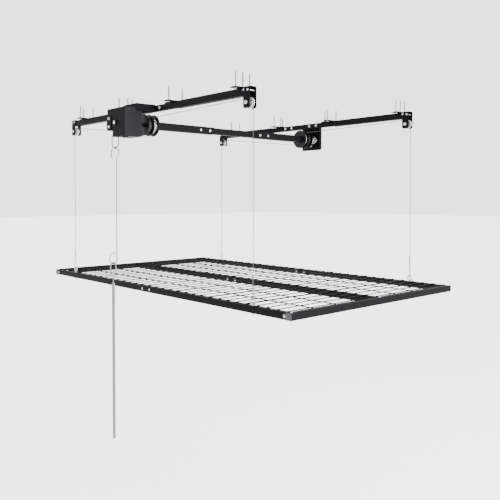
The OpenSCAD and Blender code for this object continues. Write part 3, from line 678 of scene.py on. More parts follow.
@dataclass
class CeilingFrame:
    """Both rails with the screws and bolts that they share."""

    head: float = 13 * MM
    head_height: float = 5.3 * MM
    shank: float = 4 * MM
    rise: float = 72 * MM
    bolt_height: float = -21.5 * MM

    def build(self) -> None:
        """Builds the rails, the ceiling screws and the bolts through the rails."""
        rails = [CeilingRail("front"), CeilingRail("back")]
        for rail in rails:
            rail.build()
        screws = [self._screw(*place) for rail in rails for place in rail.screw_places()]
        Piece("ceiling_screws", SCREW_ZINC, "ceiling_frame", "zinc_fasteners", ("lag_screws",)).place(
            join(screws))
        bolts = [self._bolt(x, y0, y1, self.bolt_height) for rail in rails for x, y0, y1 in rail.bolt_places()]
        Piece("rail_cross_bolts", ZINC, "ceiling_frame", "zinc_fasteners", ("rail_bolts",)).place(join(bolts))

    def _screw(self, x: float, y: float, seat: float) -> Surface:
        """One ceiling screw: a head and washer under its seat, a plain shank and a thread to the tip."""
        smooth = 26 * MM
        return join([
            hex_head(self.head, self.head_height - 1.2 * MM, Axis.MINUS_Z, (x, y, seat - 1.2 * MM)),
            washer(self.shank, 8 * MM, 1.2 * MM, Axis.MINUS_Z, (x, y, seat)),
            turned([(self.shank, seat - 1 * MM), (self.shank, smooth), (self.shank * 0.8, smooth + 0.6 * MM)],
                   Axis.Z, (x, y, 0), 20),
            thread(self.shank, self.rise - smooth, 3.2 * MM, (x, y, smooth), 11 * MM),
        ])

    def _bolt(self, x: float, y0: float, y1: float, z: float) -> Surface:
        """One cross bolt: head and washer on the near face, nut, washer and thread end on the far one."""
        return join([
            washer(4 * MM, 7.6 * MM, 1.2 * MM, Axis.MINUS_Y, (x, y0, z)),
            hex_head(self.head, 5.2 * MM, Axis.MINUS_Y, (x, y0 - 1.2 * MM, z)),
            washer(4 * MM, 7.6 * MM, 1.2 * MM, Axis.Y, (x, y1, z)),
            hex_head(self.head, 5.6 * MM, Axis.Y, (x, y1 + 1.2 * MM, z)),
            turned([(4 * MM, 0), (4 * MM, y1 - y0 + 8 * MM), (3.2 * MM, y1 - y0 + 9 * MM)], Axis.Y,
                   (x, y0, z), 20),
        ])


@dataclass
class PulleyCorner:
    """One end of a rail: the fork, its bolts and the grooved pulley."""

    row: str
    hand: str
    sheet: float = 3 * MM
    corner: float = 12 * MM
    axle: float = 5 * MM
    bore: float = 5.05 * MM
    rim: float = 25 * MM
    groove: float = 20 * MM

    @property
    def key(self) -> str:
        """The corner's name in the frame's nodes."""
        return f"{self.row}_{self.hand}"

    def build(self) -> list[Surface]:
        """Builds the fork and the pulley.

        Returns:
            The axle bolt and the two small bolts, for the shared pieces.
        """
        low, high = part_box(f"clevis_{self.key}")
        fork = Piece(f"{self.key}_pulley_fork", BRACKET_BLACK, "ceiling_frame", "bracket_coat",
                     (f"clevis_{self.key}",))
        fork.place(self._fork(low, high), bevel=0.7 * MM)
        wheel_low, wheel_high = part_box(f"pulley_{self.key}")
        centre = (wheel_low + wheel_high) / 2
        body = f"pulley_{self.key}"
        Piece(f"{self.key}_pulley_wheel", PULLEY_ZINC, body, "pulley_zinc", (body,)).place(
            self._wheel(centre))
        sign = 1 if self.hand == "right" else -1
        outer = max(abs(low.x), abs(high.x))
        small = [(sign * (outer - 37 * MM), -14 * MM), (sign * (outer - 11 * MM), -17 * MM)]
        axle = self._cross_bolt(centre.x, low.y, high.y, centre.z, self.axle, 16 * MM)
        return [axle, *(self._cross_bolt(x, low.y, high.y, z, 3 * MM, 10 * MM) for x, z in small)]

    def _fork(self, low: Sequence[float], high: Sequence[float]) -> Surface:
        """Two side plates with round lower corners and bent shoulders under a flat bridge.

        The section is a path over the bridge and down both sides, and each point of it runs from one
        edge of the fork to the other; near the bottom the edges draw in along a quarter circle.
        """
        t, bend = self.sheet, 3.5 * MM
        x0, x1, y0, y1, z0, z1 = low[0], high[0], low[1], high[1], low[2], high[2]
        outer = np.concatenate([
            np.stack([np.full(12, y0), np.concatenate([
                z0 + self.corner * (1 - np.cos(np.linspace(0, np.pi / 2, 8))),
                np.linspace(z0 + 20 * MM, z1 - bend, 4)])], 1),
            arc((0, y0 + bend, z1 - bend), bend, 165, 90, (0, 1, 0), (0, 0, 1), 4)[:, 1:],
        ])
        mirror = np.stack([y0 + y1 - outer[::-1, 0], outer[::-1, 1]], 1)
        inner_y = np.clip(np.concatenate([outer, mirror])[:, 0], y0 + t, y1 - t)
        path = np.concatenate([outer, mirror])
        inner = np.stack([inner_y, np.minimum(path[:, 1], z1 - t)], 1)
        drop = np.clip((z0 + self.corner - path[:, 1]) / self.corner, 0, 1)
        inset = self.corner * (1 - np.sqrt(1 - drop**2))
        rings = [np.column_stack([x0 + inset, path]), np.column_stack([x1 - inset, path]),
                 np.column_stack([x1 - inset, inner]), np.column_stack([x0 + inset, inner])]
        points = np.stack(rings, 1).reshape(-1, 3)
        count = len(path)
        last = (count - 1) * 4
        faces = [grid_faces(count, 4), np.arange(4)[None, ::-1], np.arange(last, last + 4)[None]]
        return Surface(points, faces)

    def _wheel(self, centre: Sequence[float]) -> Surface:
        """The pulley: hub, dished web, rim and a round-bottomed groove, turned about its bore."""
        half, hub = 6 * MM, 9 * MM
        groove = [(self.groove + 4.6 * MM * (1 - math.sin(a)), -3.4 * MM * math.cos(a))
                  for a in np.radians([0, 25, 50, 75, 90, 105, 130, 155, 180])]
        profile = [(self.bore, -half - 3 * MM), (hub, -half - 3 * MM), (hub, -half + 2 * MM),
                   (self.groove - 1.5 * MM, -half + 2 * MM), (self.groove + 0.5 * MM, -half),
                   (self.rim - 0.6 * MM, -half), (self.rim, -half + 0.7 * MM), *groove, (self.rim, half - 0.7 * MM),
                   (self.rim - 0.6 * MM, half), (self.groove + 0.5 * MM, half),
                   (self.groove - 1.5 * MM, half - 2 * MM), (hub, half - 2 * MM), (hub, half + 3 * MM),
                   (self.bore, half + 3 * MM)]
        return turned(profile, Axis.Y, centre, 48, hollow=True)

    def _cross_bolt(self, x: float, y0: float, y1: float, z: float, radius: float, across: float) -> Surface:
        """A bolt along Y through both side plates."""
        return join([
            hex_head(across, radius * 1.3, Axis.MINUS_Y, (x, y0, z)),
            hex_head(across, radius * 1.6, Axis.Y, (x, y1, z)),
            turned([(radius, 0), (radius, y1 - y0 + radius * 1.8), (radius * 0.8, y1 - y0 + radius * 2)], Axis.Y,
                   (x, y0, z), 20),
        ])


# ---------------------------------------------------------------- the drive


@dataclass
class GearUnit:
    """The gear case at the front rail: its shell, cover, hanger, bolts and foot."""

    wall: float = 3 * MM
    notch_x: float = -23 * MM
    notch_z: float = -137 * MM
    pocket_x: float = -11 * MM
    lug_x: float = 28 * MM
    lug_width: float = 46 * MM
    lug_bolts: tuple[float, float] = (-77 * MM, -118 * MM)
    hanger_bolts: tuple[float, float] = (-712 * MM, -698 * MM)

    def build(self) -> None:
        """Builds the shell, the cover, the hanger and the case bolts."""
        low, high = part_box("gear_case")
        shell = rounded_polygon([(low.x, self.notch_z), (self.pocket_x, self.notch_z), (self.pocket_x, low.z),
                                 (high.x, low.z), (high.x, high.z), (low.x, high.z)], 4 * MM, 5)
        middle = np.array([(self.pocket_x + high.x) / 2, (self.notch_z + high.z) / 2])
        inner = middle + (shell - middle) * 0.955
        rear = middle + (shell - middle) * 0.985
        depth = high.y - low.y
        rows = [(0, shell), (depth - 2 * MM, shell), (depth, rear), (depth - self.wall, inner), (0, inner)]
        body = stack([(h, o[:, ::-1]) for h, o in rows], Axis.Y, (0, low.y, 0), hollow=True)
        back = slab(rear[:, ::-1], depth - self.wall, depth, Axis.Y, (0, low.y, 0))
        Piece("gear_case_shell", CASE_CHARCOAL, "ceiling_frame", "case_coat", ("gear_case",)).place(
            join([body, back, self._foot(high.x, low.y, low.z)]))
        self._cover()
        self._hanger()
        bolts = [self._lug_bolt(z) for z in self.lug_bolts]
        heads = [hex_head(8 * MM, 3 * MM, Axis.X, (high.x + self.wall, y, -36 * MM))
                 for y in self.hanger_bolts]
        Piece("case_bolt_set", ZINC, "ceiling_frame", "zinc_fasteners", ("case_bolts",)).place(join(bolts))
        Piece("hanger_bolt_set", BRACKET_BLACK, "ceiling_frame", "zinc_fasteners", ("case_bolts",)).place(
            join(heads))

    def _foot(self, x: float, y: float, z: float) -> Surface:
        """A low round-cornered pad under the case's near corner."""
        outline = rounded_polygon([(x - 26 * MM, y), (x - 1 * MM, y), (x - 1 * MM, y + 22 * MM),
                                   (x - 26 * MM, y + 22 * MM)], 7 * MM, 6)
        small = outline.mean(0) + (outline - outline.mean(0)) * 0.8
        return stack([(z + 1 * MM, outline), (z - 7 * MM, outline), (z - 9 * MM, small)], Axis.Z)

    def _cover(self) -> None:
        """The front plate with its cut-away corner, and the raised lug on its left edge."""
        low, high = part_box("gear_cover")
        plate = rounded_polygon([(low.x, self.notch_z), (self.notch_x, self.notch_z), (self.notch_x, low.z),
                                 (high.x, low.z), (high.x, high.z), (low.x, high.z)], 9 * MM, 6)
        edge, bottom, top = low.x + self.lug_width, -133 * MM, -64 * MM
        lug = rounded_polygon([(low.x, bottom), (edge, bottom), (edge, top), (low.x, top)], 13 * MM, 7)
        front = high.y - self.wall
        parts = [slab(plate[:, ::-1], 0, self.wall, Axis.Y, (0, front, 0)),
                 slab(lug[:, ::-1], -4 * MM, 0.5 * MM, Axis.Y, (0, front, 0))]
        Piece("gear_case_cover", BRACKET_BLACK, "ceiling_frame", "cover_coat", ("gear_cover",)).place(
            join(parts), bevel=1.0 * MM)

    def _lug_bolt(self, z: float) -> Surface:
        """A bolt on the lug, head to the front."""
        low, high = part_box("gear_cover")
        x, y = low.x + self.lug_x, low.y
        return join([washer(4 * MM, 8 * MM, 1.2 * MM, Axis.MINUS_Y, (x, y, z)),
                     hex_head(13 * MM, 5 * MM, Axis.MINUS_Y, (x, y - 1.2 * MM, z)),
                     hex_head(13 * MM, 6 * MM, Axis.Y, (x, high.y, z))])

    def _hanger(self) -> None:
        """The bent plate from the front rail to the case: a top, a front lip, two sides and a rail flange."""
        low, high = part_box("front_hanger")
        x0, t = -32 * MM, self.wall
        bottom, case_top = -42 * MM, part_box("gear_case")[1].z
        parts = [
            block((x0, low.y, high.z - t), (high_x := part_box("gear_case")[1].x + t, high.y, high.z)),
            block((high_x - t, low.y, bottom), (high_x, high.y, high.z)),
            block((x0, low.y, case_top), (x0 + t, high.y, high.z)),
            block((x0, low.y, case_top), (high_x, low.y + t, high.z)),
            block((low.x, high.y - t, -35 * MM), (high.x, high.y, -8 * MM)),
        ]
        Piece("case_hanger", BRACKET_BLACK, "ceiling_frame", "bracket_coat", ("front_hanger",)).place(
            join(parts), bevel=0.9 * MM)


@dataclass
class BackBearing:
    """The bent plate that carries the far end of the drive shaft, and the oval housing bolted to it."""

    sheet: float = 3 * MM
    lip: float = 18 * MM
    bolt_gap: float = 38 * MM
    bore: float = 11 * MM

    def build(self) -> None:
        """Builds the bearing plate: top, upright, rail flange and the turned lip on its right edge."""
        low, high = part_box("back_bearing_plate")
        left, right = (corner.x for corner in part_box("gear_case"))
        t = self.sheet
        upright = rounded_polygon([(left, low.z), (right, low.z), (right, high.z), (left, high.z)], 9 * MM, 6)
        parts = [
            block((left, low.y, high.z - t), (right, high.y, high.z)),
            block((low.x, low.y, -35 * MM), (high.x, low.y + t, high.z - t)),
            slab(upright[:, ::-1], high.y - t, high.y, Axis.Y),
            block((right - t, high.y - self.lip, low.z + 4 * MM), (right, high.y, high.z)),
        ]
        Piece("back_bearing_bracket", BRACKET_BLACK, "ceiling_frame", "bracket_coat",
              ("back_bearing_plate",)).place(join(parts), bevel=0.9 * MM)
        self._housing()

    def _housing(self) -> None:
        """The pressed housing: an oval flange that swells into a domed boss, and its two screws."""
        low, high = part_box("back_bearing_housing")
        centre = ((low.x + high.x) / 2, high.y, (low.z + high.z) / 2)
        angle = np.arange(96) * 2 * np.pi / 96
        oval = np.stack([self.bolt_gap * 1.26 * np.sin(angle), 25 * MM * np.cos(angle)], 1)
        neck = circle(23 * MM, 96)
        rows = [(0.0, oval), (4 * MM, oval), (5 * MM, oval * 0.97), (5.4 * MM, neck), (9 * MM, neck * 0.97),
                (12 * MM, neck * 0.86), (14 * MM, neck * 0.68), (14 * MM, circle(self.bore, 96)),
                (0.0, circle(self.bore, 96))]
        Piece("bearing_housing", PULLEY_ZINC, "ceiling_frame", "pulley_zinc",
              ("back_bearing_housing",)).place(stack(rows, Axis.MINUS_Y, centre, hollow=True))
        screws = [hex_head(13 * MM, 5 * MM, Axis.MINUS_Y,
                           (centre[0], high.y - 5 * MM, centre[2] + s * self.bolt_gap)) for s in (-1, 1)]
        Piece("bearing_screw_pair", ZINC, "ceiling_frame", "zinc_fasteners", ("bearing_screws",)).place(
            join(screws))


@dataclass
class DriveShaft:
    """The turning line across the rack: square tubes, drums, wound cable and their fasteners."""

    wall: float = 2 * MM
    corner: float = 3.5 * MM
    bay: float = 16 * MM
    drum_half: float = 32 * MM
    flange: float = 3 * MM
    core: float = 34 * MM
    coil: float = 40 * MM
    cable: float = 1.75 * MM
    screws: tuple[float, float] = (0.195, 0.260)

    def build(self) -> None:
        """Builds the tubes, the drums, the wound cable, the cross screws and the end nut."""
        for node in ("front_sleeve", "back_sleeve", "inner_drive_tube"):
            low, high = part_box(node)
            Piece(f"{node}_shell", RAIL_BLACK, "drive_shaft", "drive_tube_coat", (node,)).place(
                tube(low, high, 1, self.wall, self.corner))
        for row in ("front", "back"):
            low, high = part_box(f"{row}_drum")
            centre = (low + high) / 2
            Piece(f"{row}_cable_drum", DRUM_GLOSS, "drive_shaft", "drum_coat", (f"{row}_drum",)).place(
                self._drum(centre, (high.z - low.z) / 2))
            inward = 1 if row == "front" else -1
            # Painted light and shade: the inner bay's cable is painted bright and the outer bay's cable is painted
            # darker, standing for the shade in that bay.
            for place, side, finish in (("inner", inward, LIT_WOUND_ROPE), ("outer", -inward, ROPE)):
                Piece(f"{row}_{place}_wound_cable", finish, "drive_shaft", "wire_rope",
                      (f"{row}_windings",)).place(self._coil(centre, side * self.bay, side), crease=60)
        self._fasteners()

    def _drum(self, centre: Sequence[float], radius: float) -> Surface:
        """A drum turned about Y: a core with three thin flanges whose rims are rounded."""
        profile = [(10.0 * MM, -self.drum_half - self.flange / 2)]
        edge, half = 0.8 * MM, self.flange / 2
        for middle in (-self.drum_half, 0.0, self.drum_half):
            near, far = middle - half, middle + half
            profile += [(self.core, near), (radius - edge, near), (radius, near + edge), (radius, far - edge),
                        (radius - edge, far), (self.core, far)]
        profile += [(10.0 * MM, self.drum_half + self.flange / 2)]
        return turned(profile[:1] + profile[2:-2] + profile[-1:], Axis.Y, centre, 96, hollow=True)

    def _coil(self, centre: Sequence[float], offset: float, hand: int) -> Surface:
        """Cable wound in one bay: a helix of radius R whose Y moves one cable width a turn."""
        turns = 7.25
        width = (2 * self.bay - self.flange) - 2 * self.cable - 1 * MM
        t = np.linspace(0, 1, int(turns * 40))
        angle = 2 * np.pi * turns * t
        radius = self.coil - 2.05 * MM
        path = np.stack([radius * np.cos(angle), hand * width * (t - 0.5), radius * np.sin(angle)], 1)
        under = self._under_layer()
        coil = sweep(path, rope_outline(self.cable, 6, 12), (0, 1, 0), 20 * MM, self.cable)
        place = (centre[0], centre[1] + offset, centre[2])
        return join([coil.shifted(*place), under.shifted(*place)])

    def _under_layer(self) -> Surface:
        """The layer below, a ring whose outside ripples as the turns do: r + d |cos| across the bay."""
        half = (2 * self.bay - self.flange) / 2 - 0.6 * MM
        y = np.linspace(-half, half, 49)
        ripple = self.coil - 3.6 * MM - 0.9 * MM * (1 - np.abs(np.cos(np.pi * y / (3.6 * MM))))
        profile = [(self.core - 0.2 * MM, -half), *zip(ripple, y), (self.core - 0.2 * MM, half)]
        return turned(profile, Axis.Y, (0, 0, 0), 64, hollow=True)

    def _fasteners(self) -> None:
        """The screws on the tubes' near faces and the nut on the front end of the shaft."""
        low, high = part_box("front_sleeve")
        x, z = high.x, (low.z + high.z) / 2
        parts = [pan_screw(5 * MM, Axis.X, (x, side * y, z)) for side in (-1, 1) for y in self.screws]
        nut_low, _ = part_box("drive_fasteners")
        centre = ((low.x + high.x) / 2, nut_low.y, z)
        outside = [(0.0, circle(11.5 * MM)), (1.2 * MM, hexagon(26 * MM)), (5.8 * MM, hexagon(26 * MM)),
                   (7 * MM, circle(11.5 * MM)), (7 * MM, circle(10 * MM)), (0.0, circle(10 * MM))]
        Piece("drive_tube_screws", ZINC, "drive_shaft", "zinc_fasteners", ("drive_fasteners",)).place(
            join(parts))
        Piece("shaft_end_nut", CASE_CHARCOAL, "drive_shaft", "zinc_fasteners", ("drive_fasteners",)).place(
            stack(outside, Axis.Y, centre, hollow=True))
        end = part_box("front_journal")[0].y
        face = turned([(8.5 * MM, -0.4 * MM), (8.5 * MM, 0.3 * MM), (7.8 * MM, 0.8 * MM), (3 * MM, 1 * MM)],
                      Axis.MINUS_Y, (centre[0], end, z), 32)
        Piece("shaft_end_face", BRIGHT_STEEL, "drive_shaft", "bright_steel").place(face)


# ---------------------------------------------------------------- the crank


@dataclass
class Crank:
    """The worm's wire eye, the rod that hooks into it and the pole that hooks into the rod's ring."""

    x: float = -38 * MM
    y: float = -766 * MM
    turn: float = 22.0
    half_eye: float = 20 * MM
    eye_wire: float = 2.5 * MM
    wire: float = 3 * MM
    hook: float = 21 * MM
    pole_hook: float = 27 * MM
    jog: float = 7 * MM
    pole: float = 8 * MM
    pole_top: float = -920 * MM
    pole_hook_end: float = -882 * MM

    def build(self) -> None:
        """Builds the eye, the rod and the pole from their boxes in the frame."""
        self._eye()
        self._rod()
        self._pole()

    def _eye(self) -> None:
        """The eye: a collar with a wire that goes down both sides to a soft V."""
        low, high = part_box("input_eye")
        v_z, top = low.z + self.eye_wire, high.z
        half, side_low, side_top = self.half_eye, v_z + 16.5 * MM, high.z - 20 * MM
        right = rounded_path([(1 * MM, 0, top - 7 * MM), (half, 0, side_top), (half, 0, side_low),
                              (0, 0, v_z)], 7 * MM)
        left = right[::-1] * np.array([-1, 1, 1])
        path = np.concatenate([right[:-1], arc_smooth_v(right, v_z), left[1:]])
        wire = sweep(path, circle(self.eye_wire, 14), (0, 1, 0))
        collar = turned([(4 * MM, 0), (6 * MM, 1 * MM), (6 * MM, 7 * MM), (4.6 * MM, 9 * MM)], Axis.MINUS_Z,
                        (0, 0, top), 24)
        turn = Matrix.Translation((self.x, self.y, 0)) @ Matrix.Rotation(math.radians(self.turn), 4, "Z")
        Piece("worm_eye", EYE_STEEL, "worm", "eye_steel", ("input_eye",)).place(
            join([wire, collar]).moved(turn), crease=50)

    def _rod(self) -> None:
        """The rod: hook, slanted leg, straight rod and open ring, bent from one wire in the YZ plane."""
        low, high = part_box("crank_rod")
        hook_centre = high.z - self.wire - self.hook
        ring_low = low.z + self.wire + self.hook
        ring_y, free = self.jog - self.hook, hook_centre - 35 * MM
        y_axis, z_axis = (0, 1, 0), (0, 0, 1)
        ring_top = low.z + 62 * MM - self.wire - self.hook
        parts = [
            [(0, -self.hook, free)],
            arc((0, 0, hook_centre), self.hook, 180, 0, y_axis, z_axis),
            rounded_path([(0, self.hook, hook_centre - 1 * MM), (0, self.hook, hook_centre - 9 * MM),
                          (0, self.jog, free - 6 * MM), (0, self.jog, free - 30 * MM)], 10 * MM)[1:],
            arc((0, ring_y, ring_low), self.hook, 0, -180, y_axis, z_axis),
            arc((0, ring_y, ring_top), self.hook, 180, 50, y_axis, z_axis),
        ]
        path = np.concatenate([np.asarray(p, float) for p in parts]) + np.array([self.x, self.y, 0])
        rod = sweep(path, circle(self.wire, 16), (1, 0, 0), round_end=self.wire)
        Piece("upper_crank_rod", POLISHED, "crank_rod", "crank_zinc", ("crank_rod",)).place(rod, crease=50)

    def _pole(self) -> None:
        """The pole: a hook in the XZ plane whose slanted leg enters the plugged top of a long tube."""
        low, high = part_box("crank_pole")
        centre_y = (low.y + high.y) / 2
        top = self.pole_top
        hook_centre = high.z - self.wire - self.pole_hook
        parts = [
            [(-self.pole_hook, 0, self.pole_hook_end)],
            arc((0, 0, hook_centre), self.pole_hook, 180, 0, (1, 0, 0), (0, 0, 1)),
            rounded_path([(self.pole_hook, 0, hook_centre - 1 * MM), (self.pole_hook, 0, hook_centre - 10 * MM),
                          (0, 0, top + 24 * MM), (0, 0, top - 3 * MM)], 12 * MM)[1:],
        ]
        path = np.concatenate([np.asarray(p, float) for p in parts])
        hook = sweep(path, circle(self.wire, 16), (0, 1, 0), round_end=self.wire)
        r, length = self.pole, top - low.z
        shell = turned([(self.wire, 0), (r - 2.5 * MM, 0), (r - 0.7 * MM, 0.6 * MM), (r, 3 * MM), (r, length - 1 * MM),
                        (r - 0.6 * MM, length), (r - 1.5 * MM, length), (r - 1.5 * MM, 20 * MM), (0.5 * MM, 20 * MM)],
                       Axis.MINUS_Z, (0, 0, top), 32)
        pole = join([hook, shell]).shifted(self.x, centre_y, 0)
        Piece("lower_crank_pole", POLISHED, "crank_pole", "crank_zinc", ("crank_pole",)).place(
            pole, crease=50)


def rounded_path(corners: Sequence[Sequence[float]], radius: float, steps: int = 6) -> Array:
    """A path whose inner corners are quadratic curves, as a bent wire's are.

    Args:
        corners: The path's corners, in order.
        radius: Distance from each corner where its curve starts.
        steps: Cuts of each curve.

    Returns:
        The path's points.
    """
    points = np.asarray(corners, float)
    path = [points[:1]]
    for a, b, c in zip(points[:-2], points[1:-1], points[2:]):
        back, on = a - b, c - b
        reach = min(radius, np.linalg.norm(back) / 2, np.linalg.norm(on) / 2)
        start, end = b + back / np.linalg.norm(back) * reach, b + on / np.linalg.norm(on) * reach
        t = np.linspace(0, 1, steps + 1)[:, None]
        path.append((1 - t) ** 2 * start + 2 * t * (1 - t) * b + t**2 * end)
    return np.concatenate([*path, points[-1:]])


def arc_smooth_v(right: Array, low: float) -> Array:
    """The bottom of a V as a short parabola between its two legs, lowest at the given height."""
    leg = right[-1] - right[-2]
    slope = abs(leg[2] / leg[0])
    x = np.linspace(3 * MM, -3 * MM, 7)
    z = low + slope * x**2 / (6 * MM)
    return np.stack([x, 0 * x, z], 1)


# ---------------------------------------------------------------- the platform


@dataclass
class Platform:
    """The lifting platform: its tube frame, end caps, wire deck, screws, eye bolts and cable clamps."""

    wall: float = 1.6 * MM
    corner: float = 3 * MM
    wire: float = 2.5 * MM
    panel_pitch: float = 260.5 * MM
    wire_pitch: float = 63 * MM
    joint_screw: float = 34 * MM
    corner_screw: float = 24 * MM
    cable_y: float = 594 * MM

    def build(self) -> None:
        """Builds every visible piece of the platform."""
        low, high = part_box("side_tube_left")
        self.top, self.middle = high.z, (low.z + high.z) / 2
        self.depth = high.y
        self.side_x = abs(low.x + high.x) / 2
        row_low, row_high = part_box("back_tube_left")
        self.long_y = (row_low.y + row_high.y) / 2
        self._tubes()
        self._deck()
        self._screws()
        self._hardware()

    def _tubes(self) -> None:
        """The two side tubes with their end caps, and the halves of the three long tubes."""
        for hand in ("left", "right"):
            node = f"side_tube_{hand}"
            low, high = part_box(node)
            Piece(f"platform_{node}", RAIL_BLACK, "platform", "platform_coat", (node,)).place(
                tube(low, high, 1, self.wall, self.corner))
            for row in ("front", "centre", "back"):
                node = f"{row}_tube_{hand}"
                low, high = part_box(node)
                Piece(f"platform_{node}", RAIL_BLACK, "platform", "platform_coat", (node,)).place(
                    tube(low, high, 0, self.wall, self.corner))
        caps = [self._cap(sx * self.side_x, sy) for sx in (-1, 1) for sy in (-1, 1)]
        Piece("side_tube_caps", CAP_BLACK, "platform", "platform_coat").place(join(caps))

    def _cap(self, x: float, side: int) -> Surface:
        """A plug for a tube's open end: a thin rounded head over the rim and a body inside the tube."""
        width = 2 * (self.top - self.middle)
        head, plug = rounded_square(width, self.corner), rounded_square(width - 3.6 * MM, 1.6 * MM)
        rows = [(-14 * MM, plug), (0.0, plug), (0.0, head), (1.2 * MM, head),
                (2.0 * MM, rounded_square(width - 2 * MM, self.corner))]
        return stack(rows, Axis.Y if side > 0 else Axis.MINUS_Y, (x, side * self.depth, self.middle))

    def _deck(self) -> None:
        """Eight welded wire panels: five long wires across the tubes on six cross wires each."""
        parts = []
        cross_pitch = self.long_y / 4
        for centre in (np.arange(8) - 3.5) * self.panel_pitch:
            for i in range(-2, 3):
                x, z = centre + i * self.wire_pitch, self.top + self.wire
                reach = self.long_y + 4 * MM
                path = finer(np.array([(x, -reach, z), (x, reach, z)]), 0.3)
                parts.append(sweep(path, circle(self.wire, 10), (0, 0, 1), round_end=self.wire * 0.6))
            for k in (-3, -2, -1, 1, 2, 3):
                reach, z = 2 * self.wire_pitch, self.top - 1 * MM
                ends = np.array([(centre - reach, k * cross_pitch, z), (centre + reach, k * cross_pitch, z)])
                parts.append(sweep(finer(ends, 0.2), circle(self.wire, 10), (0, 0, 1),
                                   round_end=self.wire * 0.6))
        Piece("deck_wires", DECK_BLACK, "platform", "deck_wire_coat", ("wire_decks",)).place(
            join(parts), crease=60)

    def _screws(self) -> None:
        """Screws down through the deck, into the frame's corners and across the tube joints."""
        size = 5.2 * MM
        tops = [(side * ((i + 0.5) * self.panel_pitch + self.wire_pitch / 2), row * self.long_y)
                for side in (-1, 1) for row in (-1, 1) for i in range(4)]
        tops += [(side * self.side_x, row * self.long_y) for side in (-1, 1) for row in (-1, 0, 1)]
        parts = [pan_screw(size, Axis.Z, (x, y, self.top)) for x, y in tops]
        half = self.top - self.middle
        for side in (-1, 1):
            corner_x = side * (self.side_x - self.corner_screw)
            parts.append(pan_screw(size, Axis.MINUS_Y, (corner_x, -self.depth, self.middle)))
            parts.append(pan_screw(size, Axis.Y, (corner_x, self.depth, self.middle)))
            parts += [pan_screw(size, Axis.MINUS_Y,
                                (side * self.joint_screw, row * self.long_y - half, self.middle))
                      for row in (-1, 0, 1)]
        Piece("platform_screws", ZINC, "platform", "zinc_fasteners", ("deck_screws",)).place(join(parts))

    def _hardware(self) -> None:
        """Eye bolts, the cable loops through them and the clamps above."""
        low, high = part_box("eye_bolts")
        clamp_low, clamp_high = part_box("cable_clamps")
        reach = (high.x - low.x) / 2 - 16 * MM
        bolts, loops, clamps = [], [], []
        for sx in (-1, 1):
            for sy in (-1, 1):
                x, y = sx * reach, sy * self.long_y
                bolts.append(self._eye_bolt(x, y, low.z))
                loops.append(self._loop(x, sy * self.cable_y, clamp_low.z))
                clamps.append(self._clamp(x, sy * self.cable_y - 2 * MM, clamp_low.z, clamp_high.z))
        Piece("platform_eye_bolts", ZINC, "platform", "zinc_fasteners", ("eye_bolts",)).place(join(bolts))
        Piece("cable_end_loops", ROPE, "platform", "wire_rope", ("cable_ends",)).place(join(loops), crease=60)
        Piece("cable_end_clamps", CLAMP_ALLOY, "platform", "clamp_alloy", ("cable_clamps",)).place(
            join(clamps))

    def _eye_bolt(self, x: float, y: float, foot: float) -> Surface:
        """An eye bolt: threaded shank, nut under the tube, washer on top and a closed ring."""
        ring, wire, base = 12.5 * MM, 3.5 * MM, self.top - 2 * (self.top - self.middle)
        centre = (x, y, self.top + 18 * MM)
        path = arc(centre, ring, 0, 360, (1, 0, 0), (0, 0, 1), 32)[:-1]
        outline = circle(wire, 12)
        across = (path - np.array(centre)) / ring
        points = (path[:, None] + outline[None, :, :1] * across[:, None]
                  + outline[None, :, 1:] * np.array([0, 1, 0]))
        torus = Surface(points.reshape(-1, 3), [grid_faces(32, 12, True)])
        shank = turned([(3.4 * MM, 0), (4 * MM, 0.8 * MM), (4 * MM, centre[2] - ring - foot)], Axis.Z,
                       (x, y, foot), 20)
        return join([torus, shank, washer(4 * MM, 9 * MM, 1.4 * MM, Axis.MINUS_Z, (x, y, base)),
                     hex_head(13 * MM, 6.5 * MM, Axis.MINUS_Z, (x, y, base - 1.4 * MM)),
                     turned([(8 * MM, 0), (8 * MM, 1.5 * MM), (5.5 * MM, 4 * MM)], Axis.Z, (x, y, self.top), 24)])

    def _loop(self, x: float, y: float, foot: float) -> Surface:
        """The doubled cable: down from the clamp, round under the eye bolt's top and up again."""
        low = self.top + 30.5 * MM
        parts = [[(0, -4 * MM, foot + 4 * MM), (0, -4 * MM, foot - 4 * MM)],
                 arc((0, 0, low), 6 * MM, 180, 360, (0, 1, 0), (0, 0, 1), 12),
                 [(0, 0, foot - 4 * MM), (0, 0, foot + 4 * MM)]]
        path = finer(np.concatenate([np.asarray(p, float) for p in parts]), 4 * MM) + np.array([x, y, 0])
        return sweep(path, rope_outline(1.75 * MM, 6, 18), (1, 0, 0), 20 * MM)

    def _clamp(self, x: float, y: float, low: float, high: float) -> Surface:
        """A pressed sleeve: a flat round-cornered band with softened rims."""
        whole = rounded_polygon([(-9 * MM, -5 * MM), (9 * MM, -5 * MM), (9 * MM, 5 * MM), (-9 * MM, 5 * MM)],
                                3.5 * MM, 6)
        height, rim = high - low, 1 * MM
        rows = [(0.0, whole * 0.88), (rim, whole), (height - rim, whole), (height, whole * 0.88)]
        return stack(rows, Axis.Z, (x, y, low))


# ---------------------------------------------------------------- the cables


